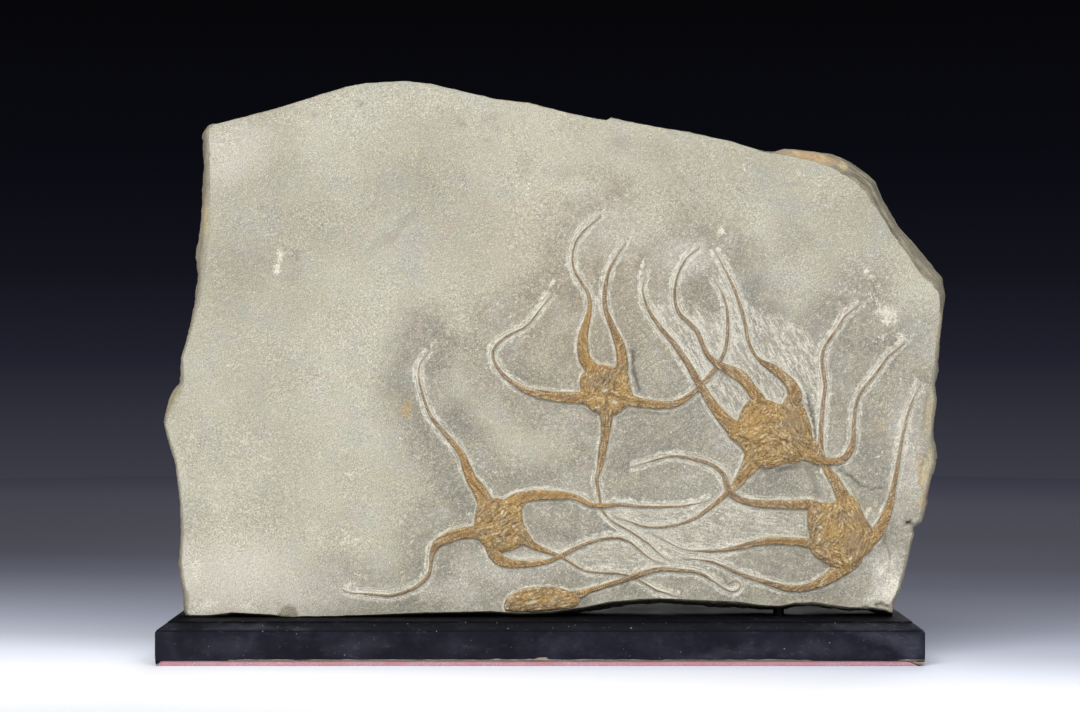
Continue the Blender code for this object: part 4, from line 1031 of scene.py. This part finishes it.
def make_pin(side, finish):
    """Turned steel pin with broken edges and a faint turning ridge or two."""
    node = "support_pin_" + side
    low, high = (np.array(corner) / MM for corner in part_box(node))
    middle, radius = (low + high) / 2, (high[0] - low[0]) / 2
    shape = bmesh.new()
    rings = []
    heights = [0.0, 0.15, 0.4, 0.8, *np.arange(1.6, high[2] - low[2] - 1.0, 0.8)]
    heights += [high[2] - low[2] - step for step in (0.8, 0.4, 0.15, 0.0)]
    for height in heights:
        near_end = min(height, high[2] - low[2] - height)
        reach = radius - 0.45 * max(0.0, 1 - near_end / 0.45) - 0.03 * (1 + math.sin(height * 9.1))
        rings.append([(middle[0] + reach * math.cos(turn), middle[1] + reach * math.sin(turn),
                       low[2] + height) for turn in np.arange(0, 2 * math.pi, math.pi / 20)])
    lofted(shape, rings)
    piece("steel_pin_" + side, finished(node, shape), finish, "pin", node)


# ---------------------------------------------------------------- materials


def siltstone():
    """Siltstone, split along its bedding and scraped by hand: silt grains show as fine salt and pepper.

    Its grains are under 0.1 mm, so they are drawn at 0.5 to 1 mm to show at all.
    """
    made, tree = blank("siltstone")
    where = add(tree, "TexCoord", out="Object")
    marks = {name: add(tree, "Attribute", attribute_name=name, out="Fac")
             for name in ("scraped", "halo", "gap", "run", "chalk", "smudge", "stain", "bleached", "dark",
                          "freed", "hatched", "raked", "chip", "broken", "deep", "under", "rusty", "yellow",
                          "fresh")}
    grains = {size: add(tree, "TexNoise", {"Vector": where, "Scale": each(size), "Detail": detail,
                                           "Roughness": rough})
              for size, detail, rough in ((44, 4, 0.55), (15, 4, 0.6), (5.5, 3, 0.6), (2.2, 3, 0.6),
                                          (0.75, 4, 0.75), (0.4, 1, 0.5))}
    tan = add(tree, "ValToRGB", {"Fac": grains[44]},
              stops=[(0.36, "#A09D8D"), (0.5, "#A9A697"), (0.64, "#B2B0A2")])
    grey = add(tree, "ValToRGB", {"Fac": grains[15]},
               stops=[(0.34, "#807D75"), (0.5, "#8C897D"), (0.66, "#989488")])
    colour = add(tree, "Mix", {"Factor": marks["freed"], 6: tan, 7: grey}, data_type="RGBA")
    # Clay and iron tint it in soft patches: bluish grey, yellowish and pinkish
    tints = []
    for size, low, high, tint, most in ((15, 0.52, 0.68, "#9A9D9E", 0.35), (5.5, 0.54, 0.7, "#ABA284", 0.35),
                                        (5.5, 0.46, 0.3, "#B4A59C", 0.45), (2.2, 0.54, 0.7, "#8E8F88", 0.34),
                                        (2.2, 0.46, 0.3, "#D0CABA", 0.34)):
        share = add(tree, "MapRange", {"Value": grains[size], "From Min": low, "From Max": high,
                                       "To Max": most})
        tints.append((share, tint))
    for name, tint, most in (("smudge", "#75746F", 0.62), ("stain", "#B8935F", 0.55),
                             ("bleached", "#DED9D3", 0.6)):
        tints.append((add(tree, "Math", {0: marks[name], 1: most}, operation="MULTIPLY"), tint))
    # Fine marks of the brush and scraper, all over, lean up to the right
    turned = add(tree, "Mapping", {"Vector": where, "Rotation": (0, math.radians(-28), 0),
                                   "Scale": (2.4, 1.0, 1.0)}, vector_type="TEXTURE")
    brushed = add(tree, "TexNoise", {"Vector": turned, "Scale": each(1.0), "Detail": 3.0, "Roughness": 0.6})
    for low, high, tint in ((0.52, 0.7, "#D8D3C5"), (0.48, 0.3, "#8F8C82")):
        share = add(tree, "MapRange", {"Value": brushed, "From Min": low, "From Max": high, "To Max": 0.22})
        tints.append((share, tint))
    # Strokes of the scraper run along the arms, and in their own lean between them
    away = add(tree, "Math", {0: marks["gap"], 1: 1.9}, operation="MULTIPLY")
    along = add(tree, "Math", {0: marks["run"], 1: 0.25}, operation="MULTIPLY")
    beside = add(tree, "CombineXYZ", {"X": away, "Y": along})
    strokes = {"scraped": add(tree, "TexNoise", {"Vector": beside, "Scale": 1.0, "Detail": 3.0,
                                                 "Roughness": 0.6})}
    for name, lean in (("hatched", 63), ("raked", 8)):
        turned = add(tree, "Mapping", {"Vector": where, "Rotation": (0, math.radians(lean), 0),
                                       "Scale": (6.0, 1.0, 1.0)}, vector_type="TEXTURE")
        strokes[name] = add(tree, "TexNoise", {"Vector": turned, "Scale": each(0.8), "Detail": 3.0,
                                               "Roughness": 0.6})
    # A bright line lies against each arm, and beyond it a crumbly band with a ragged outer edge
    ragged = marks["gap"]
    for size, gain in ((2.2, 3.2), (0.75, 1.8)):
        ragged = add(tree, "Math", {0: grains[size], 1: gain, 2: ragged}, operation="MULTIPLY_ADD")
    ragged = add(tree, "Math", {0: ragged, 1: marks["halo"]}, operation="SUBTRACT")
    band = add(tree, "MapRange", {"Value": ragged, "From Min": 2.75, "From Max": 2.25})
    inward = add(tree, "Math", {0: grains[0.75], 1: 0.9, 2: marks["gap"]}, operation="MULTIPLY_ADD")
    line = add(tree, "MapRange", {"Value": inward, "From Min": 1.2, "From Max": 0.8, "To Max": 1.1})
    waning = add(tree, "MapRange", {"Value": grains[5.5], "From Min": 0.38, "From Max": 0.6, "To Min": 0.3})
    for share in (band, waning):
        line = add(tree, "Math", {0: line, 1: share}, operation="MULTIPLY")
    masks = {"scraped": add(tree, "Math", {0: marks["scraped"], 1: band}, operation="MULTIPLY"),
             "hatched": marks["hatched"], "raked": marks["raked"]}
    crumbly = add(tree, "MapRange", {"Value": grains[0.75], "From Min": 0.36, "From Max": 0.54,
                                     "To Min": 0.5})
    cut = 0.0
    for name, tint, low, high, least in (("scraped", "#D6D2C7", 0.42, 0.58, 0.15),
                                         ("hatched", "#C9C5BB", 0.46, 0.6, 0.1),
                                         ("raked", "#BFBBB0", 0.45, 0.62, 0.2)):
        stroke = add(tree, "MapRange", {"Value": strokes[name], "From Min": low, "From Max": high,
                                        "To Min": least})
        if name == "scraped":
            stroke = add(tree, "Math", {0: stroke, 1: line}, operation="MAXIMUM")
        share = add(tree, "Math", {0: stroke, 1: masks[name]}, operation="MULTIPLY")
        share = add(tree, "Math", {0: share, 1: crumbly}, operation="MULTIPLY", use_clamp=True)
        cut = add(tree, "Math", {0: share, 1: cut}, operation="ADD")
        tints.append((share, tint))
    chalk = -2.2
    for size, gain in ((2.2, 1.6), (0.75, 2.8)):
        chalk = add(tree, "Math", {0: grains[size], 1: gain, 2: chalk}, operation="MULTIPLY_ADD")
    chalk = add(tree, "Math", {0: marks["chalk"], 1: chalk}, operation="ADD")
    chalk = add(tree, "MapRange", {"Value": chalk, "From Min": 0.24, "From Max": 0.8, "To Max": 0.72})
    tints.append((chalk, "#DFDACB"))
    for share, tint in tints:
        colour = add(tree, "Mix", {"Factor": share, 6: colour, 7: linear(tint)}, data_type="RGBA")
    # Broken sides: darker, browner, in thin beds, with rust and yellow crusts, and painted shade on the
    # underside
    beds = add(tree, "Mapping", {"Vector": where, "Scale": (0.16, 1.6, 0.16)})
    bedding = add(tree, "TexNoise", {"Vector": beds, "Scale": each(1.8), "Detail": 4.0, "Roughness": 0.65})
    side = add(tree, "ValToRGB", {"Fac": bedding},
               stops=[(0.36, "#645E53"), (0.5, "#7F796B"), (0.64, "#99937F")])
    crumbs = add(tree, "MapRange", {"Value": grains[2.2], "From Min": 0.35, "From Max": 0.55, "To Min": 0.45})
    for name, tint in (("fresh", "#A39B89"), ("rusty", "#B09473"), ("yellow", "#BFB089"),
                       ("under", "#3E362D")):
        share = add(tree, "Math", {0: marks[name], 1: crumbs}, operation="MULTIPLY")
        side = add(tree, "Mix", {"Factor": share, 6: side, 7: linear(tint)}, data_type="RGBA")
    share = add(tree, "Math", {0: marks["broken"], 1: marks["deep"]}, operation="MULTIPLY")
    share = add(tree, "Math", {0: marks["chip"], 1: 0.62, 2: share}, operation="MULTIPLY_ADD", use_clamp=True)
    colour = add(tree, "Mix", {"Factor": share, 6: colour, 7: side}, data_type="RGBA")
    # Salt and pepper of the grains, then dirt in the pits of the bleached stone, and painted shade in the
    # grooves and cracks
    for size, share, stops in ((0.75, 0.36, [(0.3, "#5E605C"), (0.42, "#A9A9A4"), (0.52, "#BDBCB6"),
                                             (0.62, "#D2D0C8"), (0.74, "#FFFBEF")]),
                               (0.4, 0.38, [(0.28, "#5A5A57"), (0.5, "#BCBBB7"), (0.72, "#FFFFFB")])):
        grain = add(tree, "ValToRGB", {"Fac": grains[size]}, stops=stops)
        colour = add(tree, "Mix", {"Factor": share, 6: colour, 7: grain}, data_type="RGBA",
                     blend_type="OVERLAY")
    pits = add(tree, "MapRange", {"Value": grains[0.75], "From Min": 0.39, "From Max": 0.3, "To Max": 0.9})
    pits = add(tree, "Math", {0: pits, 1: marks["bleached"]}, operation="MULTIPLY", use_clamp=True)
    dark = add(tree, "Math", {0: marks["dark"], 1: 0.85}, operation="MULTIPLY")
    for share, tint in ((pits, "#7D766A"), (dark, "#57534A")):
        colour = add(tree, "Mix", {"Factor": share, 6: colour, 7: linear(tint)}, data_type="RGBA")
    height = grains[0.75]
    for source, gain in ((cut, 0.5), (grains[2.2], 0.8), (brushed, 0.6)):
        height = add(tree, "Math", {0: source, 1: gain, 2: height}, operation="MULTIPLY_ADD")
    bump = add(tree, "Bump", {"Height": height, "Strength": 0.6, "Distance": 0.3 * MM})
    surface = add(tree, "BsdfPrincipled", {"Base Color": colour, "Roughness": 0.92, "Normal": bump,
                                           "Specular IOR Level": 0.2})
    add(tree, "OutputMaterial", {"Surface": surface})
    return made


def limonite():
    """Limonite after pyrite, bared with needle and brush: earthy ochre, in fine grains with pale flecks.

    Near the discs it is golden, further out along the arms it is dull brown, and the furrows are rusty.
    """
    made, tree = blank("limonite")
    where = add(tree, "TexCoord", out="Object")
    marks = {name: add(tree, "Attribute", attribute_name=name, out="Fac")
             for name in ("reach", "height", "furrow", "fibres", "tip", "rust", "pale", "dark", "golden",
                          "dull")}
    grains = {size: add(tree, "TexNoise", {"Vector": where, "Scale": each(size), "Detail": detail,
                                           "Roughness": rough})
              for size, detail, rough in ((6, 3, 0.55), (2.0, 4, 0.65), (0.8, 4, 0.75))}
    tone = add(tree, "Math", {0: marks["fibres"], 1: 0.17, 2: grains[0.8]}, operation="MULTIPLY_ADD")
    ochre = add(tree, "ValToRGB", {"Fac": tone},
                stops=[(0.26, "#634E33"), (0.4, "#846944"), (0.5, "#9B7F52"), (0.6, "#B0976B"),
                       (0.74, "#D6CAA8")])
    brown = add(tree, "ValToRGB", {"Fac": tone},
                stops=[(0.26, "#554736"), (0.4, "#72614A"), (0.5, "#8A785B"), (0.6, "#A29071"),
                       (0.74, "#CCC2A6")])
    # The outer arms are dull reddish brown and thinly veiled with stone dust
    outer = add(tree, "ValToRGB", {"Fac": tone},
                stops=[(0.28, "#66543F"), (0.5, "#89765E"), (0.72, "#B2A28A")])
    colour = ochre
    for source, low, high, most, tint in ((grains[6], 0.44, 0.6, 0.8, brown),
                                          (marks["reach"], 9.0, 40.0, 0.92, outer)):
        share = add(tree, "MapRange", {"Value": source, "From Min": low, "From Max": high, "To Max": most})
        colour = add(tree, "Mix", {"Factor": share, 6: colour, 7: tint}, data_type="RGBA")
    loose = -1.7
    for source, gain in ((grains[2.0], 1.6), (grains[0.8], 1.8), (marks["fibres"], 0.4)):
        loose = add(tree, "Math", {0: source, 1: gain, 2: loose}, operation="MULTIPLY_ADD")
    tints = []
    for name, tint, most in (("golden", "#AE8B4E", 0.55), ("dull", "#8A775F", 0.75),
                             ("rust", "#945F40", 0.7), ("dark", "#5F4630", 0.85),
                             ("furrow", "#805F42", 0.6), ("pale", "#CBC5B2", 0.8)):
        share = add(tree, "Math", {0: marks[name], 1: loose}, operation="ADD")
        share = add(tree, "MapRange", {"Value": share, "From Min": 0.05, "From Max": 0.6, "To Max": most})
        share = add(tree, "Math", {0: share, 1: marks[name]}, operation="MULTIPLY", use_clamp=True)
        tints.append((share, tint))
    # Stone dust lies against its foot and over the tips
    foot = add(tree, "Math", {0: tone, 1: 1.2, 2: -0.6}, operation="MULTIPLY_ADD")
    foot = add(tree, "Math", {0: marks["height"], 1: foot}, operation="ADD")
    foot = add(tree, "MapRange", {"Value": foot, "From Min": 0.62, "From Max": 0.2, "To Max": 0.8})
    tip = add(tree, "Math", {0: marks["tip"], 1: 0.8}, operation="MULTIPLY")
    for share, tint in (*tints, (foot, "#B9B4A4"), (tip, "#B4AB9A")):
        colour = add(tree, "Mix", {"Factor": share, 6: colour, 7: linear(tint)}, data_type="RGBA")
    height = add(tree, "Math", {0: grains[2.0], 1: 0.6, 2: grains[0.8]}, operation="MULTIPLY_ADD")
    bump = add(tree, "Bump", {"Height": height, "Strength": 0.7, "Distance": 0.35 * MM})
    surface = add(tree, "BsdfPrincipled", {"Base Color": colour, "Roughness": 0.85, "Normal": bump,
                                           "Specular IOR Level": 0.25})
    add(tree, "OutputMaterial", {"Surface": surface})
    return made


def black_lacquer():
    """Hardwood sprayed satin black and rubbed by handling: a cloudy shine, pale scuffs, raw tan wood beneath.

    Single scuffs and wood fibres are too fine to show, so they are drawn 1.7 mm and 0.9 mm wide.
    """
    made, tree = blank("black_lacquer")
    where = add(tree, "TexCoord", out="Object")
    marks = {name: add(tree, "Attribute", attribute_name=name, out="Fac")
             for name in ("rubbed", "top_shade_and_matt", "seam", "raw")}
    # Size in mm, and how much the pattern is drawn out along the board
    noises = {}
    for name, squeeze, size, detail, rough in (("cloud", 1.0, 20, 5, 0.6), ("rubbed", 1.0, 11, 6, 0.7),
                                               ("scuffs", 0.4, 1.7, 6, 0.7), ("specks", 1.0, 1.3, 1, 0.5),
                                               ("torn", 1.0, 4, 4, 0.5), ("fibre", 0.15, 0.9, 4, 0.6)):
        along = add(tree, "Mapping", {"Vector": where, "Scale": (squeeze, 1.0, 1.0)})
        noises[name] = add(tree, "TexNoise", {"Vector": along, "Scale": each(size), "Detail": detail,
                                              "Roughness": rough})
    colour = add(tree, "ValToRGB", {"Fac": noises["cloud"]},
                 stops=[(0.36, "#14141A"), (0.5, "#191920"), (0.64, "#1F1F28")])
    clouded = add(tree, "MapRange", {"Value": noises["rubbed"], "From Min": 0.5, "From Max": 0.75,
                                     "To Max": 0.05})
    handled = add(tree, "MapRange", {"Value": noises["rubbed"], "From Min": 0.3, "From Max": 0.6,
                                     "To Min": 0.5})
    handled = add(tree, "Math", {0: handled, 1: marks["rubbed"]}, operation="MULTIPLY")
    # The sloping and flat top is painted near black as shade, less where it is rubbed, and near-black lines
    # run along the slope's edges
    deep = add(tree, "Math", {0: marks["rubbed"], 1: -0.6, 2: 1.0}, operation="MULTIPLY_ADD")
    deep = add(tree, "Math", {0: deep, 1: marks["top_shade_and_matt"]}, operation="MULTIPLY")
    scuffs = add(tree, "MapRange", {"Value": noises["scuffs"], "From Min": 0.56, "From Max": 0.76,
                                    "To Max": 0.3})
    worn = add(tree, "Math", {0: marks["rubbed"], 1: 0.75, 2: 0.25}, operation="MULTIPLY_ADD")
    scuffs = add(tree, "Math", {0: scuffs, 1: worn}, operation="MULTIPLY")
    specks = add(tree, "MapRange", {"Value": noises["specks"], "From Min": 0.755, "From Max": 0.78,
                                    "To Max": 0.5})
    for share, tint in ((clouded, "#8388A0"), (handled, "#3A3B44"), (deep, "#060608"),
                        (marks["seam"], "#030304"), (scuffs, "#868A9A"), (specks, "#B4ACA0")):
        colour = add(tree, "Mix", {"Factor": share, 6: colour, 7: linear(tint)}, data_type="RGBA")
    # The paint stops in a ragged line above the underside, and raw wood shows below it
    bare = add(tree, "Math", {0: noises["torn"], 1: 1.4, 2: -0.7}, operation="MULTIPLY_ADD")
    bare = add(tree, "Math", {0: marks["raw"], 1: bare}, operation="ADD")
    bare = add(tree, "MapRange", {"Value": bare, "From Min": 0.45, "From Max": 0.6})
    wood = add(tree, "ValToRGB", {"Fac": noises["fibre"]}, stops=[(0.35, "#6A5E52"), (0.65, "#A09080")])
    colour = add(tree, "Mix", {"Factor": bare, 6: colour, 7: wood}, data_type="RGBA")
    shine = add(tree, "MapRange", {"Value": noises["cloud"], "From Min": 0.35, "From Max": 0.65,
                                   "To Min": 0.34, "To Max": 0.5})
    shine = add(tree, "Math", {0: marks["top_shade_and_matt"], 1: 0.35, 2: shine}, operation="MULTIPLY_ADD",
                use_clamp=True)
    bump = add(tree, "Bump", {"Height": noises["rubbed"], "Strength": 0.15, "Distance": 0.08 * MM})
    surface = add(tree, "BsdfPrincipled", {"Base Color": colour, "Roughness": shine, "Normal": bump,
                                           "Specular IOR Level": 0.12, "Specular Tint": linear("#C2C6E4")})
    add(tree, "OutputMaterial", {"Surface": surface})
    return made


def pink_wool_felt():
    """Pressed wool felt dyed pink: matted fibres, paler where the fuzz catches light.

    The fibres are 0.03 mm thick, so they are drawn as tufts of 0.7 mm.
    """
    made, tree = blank("pink_wool_felt")
    where = add(tree, "TexCoord", out="Object")
    fibres = add(tree, "TexNoise", {"Vector": where, "Scale": each(0.7), "Detail": 5.0, "Roughness": 0.7})
    faded = add(tree, "TexNoise", {"Vector": where, "Scale": each(12), "Detail": 3.0})
    colour = add(tree, "ValToRGB", {"Fac": fibres},
                 stops=[(0.3, "#A0787E"), (0.5, "#BA9096"), (0.7, "#CDB0B0")])
    share = add(tree, "MapRange", {"Value": faded, "From Min": 0.4, "From Max": 0.6, "To Max": 0.6})
    colour = add(tree, "Mix", {"Factor": share, 6: colour, 7: linear("#B98088")}, data_type="RGBA")
    bump = add(tree, "Bump", {"Height": fibres, "Strength": 0.8, "Distance": 0.3 * MM})
    surface = add(tree, "BsdfPrincipled", {"Base Color": colour, "Roughness": 1.0, "Normal": bump,
                                           "Specular IOR Level": 0.1, "Sheen Weight": 0.3})
    add(tree, "OutputMaterial", {"Surface": surface})
    return made


def blackened_steel():
    """Turned steel, chemically blackened: near black with a greenish cast, and oily in patches.

    The turning marks are too fine to show, so they are drawn 0.4 mm apart.
    """
    made, tree = blank("blackened_steel")
    where = add(tree, "TexCoord", out="Object")
    turned = add(tree, "Mapping", {"Vector": where, "Scale": (0.1, 0.1, 1.0)})
    patches = add(tree, "TexNoise", {"Vector": where, "Scale": each(2.5), "Detail": 4.0})
    rings = add(tree, "TexNoise", {"Vector": turned, "Scale": each(0.4), "Detail": 2.0})
    colour = add(tree, "ValToRGB", {"Fac": patches}, stops=[(0.35, "#060707"), (0.65, "#0D0F0E")])
    shine = add(tree, "MapRange", {"Value": patches, "From Min": 0.3, "From Max": 0.7, "To Min": 0.28,
                                   "To Max": 0.5})
    bump = add(tree, "Bump", {"Height": rings, "Strength": 0.2, "Distance": 0.05 * MM})
    surface = add(tree, "BsdfPrincipled", {"Base Color": colour, "Roughness": shine, "Normal": bump,
                                           "Metallic": 0.8})
    add(tree, "OutputMaterial", {"Surface": surface})
    return made


def paper_with_painted_light():
    """Matt studio paper with a pool of light painted on it: white in the middle, graded to dark grey further
    out.
    """
    made, tree = blank("paper_with_painted_light")
    where = add(tree, "TexCoord", out="Object")
    x = add(tree, "SeparateXYZ", {0: where}, out="X")
    y = add(tree, "SeparateXYZ", {0: where}, out="Y")
    sideways = add(tree, "Math", {0: x}, operation="ABSOLUTE")
    sideways = add(tree, "Math", {0: sideways, 1: 0.45}, operation="SUBTRACT")
    sideways = add(tree, "Math", {0: sideways, 1: 0.0}, operation="MAXIMUM")
    # The painted pool of light reaches a little further back on the left than on the right
    behind = add(tree, "Math", {0: x, 1: 0.2, 2: y}, operation="MULTIPLY_ADD")
    behind = add(tree, "Math", {0: behind, 1: 0.13}, operation="ADD")
    away = add(tree, "CombineXYZ", {"X": sideways, "Y": behind})
    away = add(tree, "VectorMath", {0: away}, operation="LENGTH", out="Value")
    share = add(tree, "MapRange", {"Value": away, "From Max": PAPER_RADIUS})
    colour = add(tree, "ValToRGB", {"Fac": share}, stops=PAINTED_FLOOR_LIGHT)
    surface = add(tree, "BsdfPrincipled", {"Base Color": colour, "Roughness": 0.95,
                                           "Specular IOR Level": 0.0})
    add(tree, "OutputMaterial", {"Surface": surface})
    return made


# ---------------------------------------------------------------- stage

PAPER_RADIUS = 1.6                # m
CAMERA_PLACE = (0.0, -1.043, 0.1329)
LENS = 77.77                      # mm, for a sensor 36 mm wide
# Painted light on the floor paper: its grey from its middle to its edge
PAINTED_FLOOR_LIGHT = [(0.0, "#FFFFFF"), (0.026, "#F8F9FE"), (0.061, "#E2E6F2"), (0.1, "#C1C5D2"),
                (0.137, "#AFB3C4"), (0.178, "#9DA1B0"), (0.224, "#8B8E9A"), (0.294, "#757786"),
                (0.379, "#6A6B77"), (0.56, "#777885"), (0.775, "#858698"), (1.0, "#83849B")]
# Grey of the dark room from 6 degrees below the horizon to 9 degrees above it
ROOM_SHADES = [(0.0, "#4E4F58"), (0.2, "#3B3C46"), (0.4, "#20212C"), (0.55, "#12131B"),
               (0.75, "#0A0B11"), (1.0, "#07070A")]


def softbox(name, place, target, width, height, watts, spread=180):
    """A rectangular soft light, in metres, that looks at the target; its spread is in degrees."""
    lamp = bpy.data.lights.new(name, "AREA")
    lamp.spread = math.radians(spread)
    lamp.shape = "RECTANGLE"
    lamp.size = width
    lamp.size_y = height
    lamp.energy = watts
    item = bpy.data.objects.new(name, lamp)
    item.location = place
    item.rotation_euler = (Vector(target) - item.location).to_track_quat("-Z", "Y").to_euler()
    bpy.context.scene.collection.objects.link(item)


def studio():
    """Paper floor, soft lights from the left, the right and weakly from behind, dark room and camera."""
    scene = bpy.context.scene
    scene.view_settings.view_transform = "Standard"
    softbox("key", (-0.45, -1.1, 1.15), (0.0, 0.0, 0.12), 1.2, 1.2, 28)
    softbox("fill", (0.75, -1.2, 1.05), (0.0, 0.0, 0.12), 1.2, 1.2, 15)
    softbox("back", (0.2, 0.75, 0.6), (0.0, 0.02, 0.14), 0.8, 0.6, 0.8, 60)
    world = bpy.data.worlds.new("dark_room")
    scene.world = world
    world.use_nodes = True
    tree = world.node_tree
    up = add(tree, "SeparateXYZ", {0: add(tree, "TexCoord", out="Generated")}, out="Z")
    height = add(tree, "MapRange", {"Value": up, "From Min": -0.10, "From Max": 0.15})
    shade = add(tree, "ValToRGB", {"Fac": height}, stops=ROOM_SHADES)
    tree.links.new(shade, tree.nodes["Background"].inputs["Color"])
    shape = bmesh.new()
    bmesh.ops.create_circle(shape, cap_ends=True, segments=96, radius=PAPER_RADIUS)
    floor = bpy.data.objects.new("floor", finished("floor", shape))
    floor.location.z = FELT_LOW.z - 0.2 * MM
    scene.collection.objects.link(floor)
    floor.data.materials.append(paper_with_painted_light())
    camera = bpy.data.objects.new("camera", bpy.data.cameras.new("camera"))
    camera.data.lens = LENS
    camera.data.sensor_width = 36.0
    camera.location = CAMERA_PLACE
    camera.rotation_euler = (math.radians(90), 0, 0)
    scene.collection.objects.link(camera)
    scene.camera = camera


def main():
    ochre = limonite()
    make_slab(siltstone(), np.concatenate([make_star(node, ochre) for node in DISCS]))
    make_board(black_lacquer())
    make_felt(pink_wool_felt())
    steel = blackened_steel()
    for side in ("left", "right"):
        make_pin(side, steel)
    studio()


main()
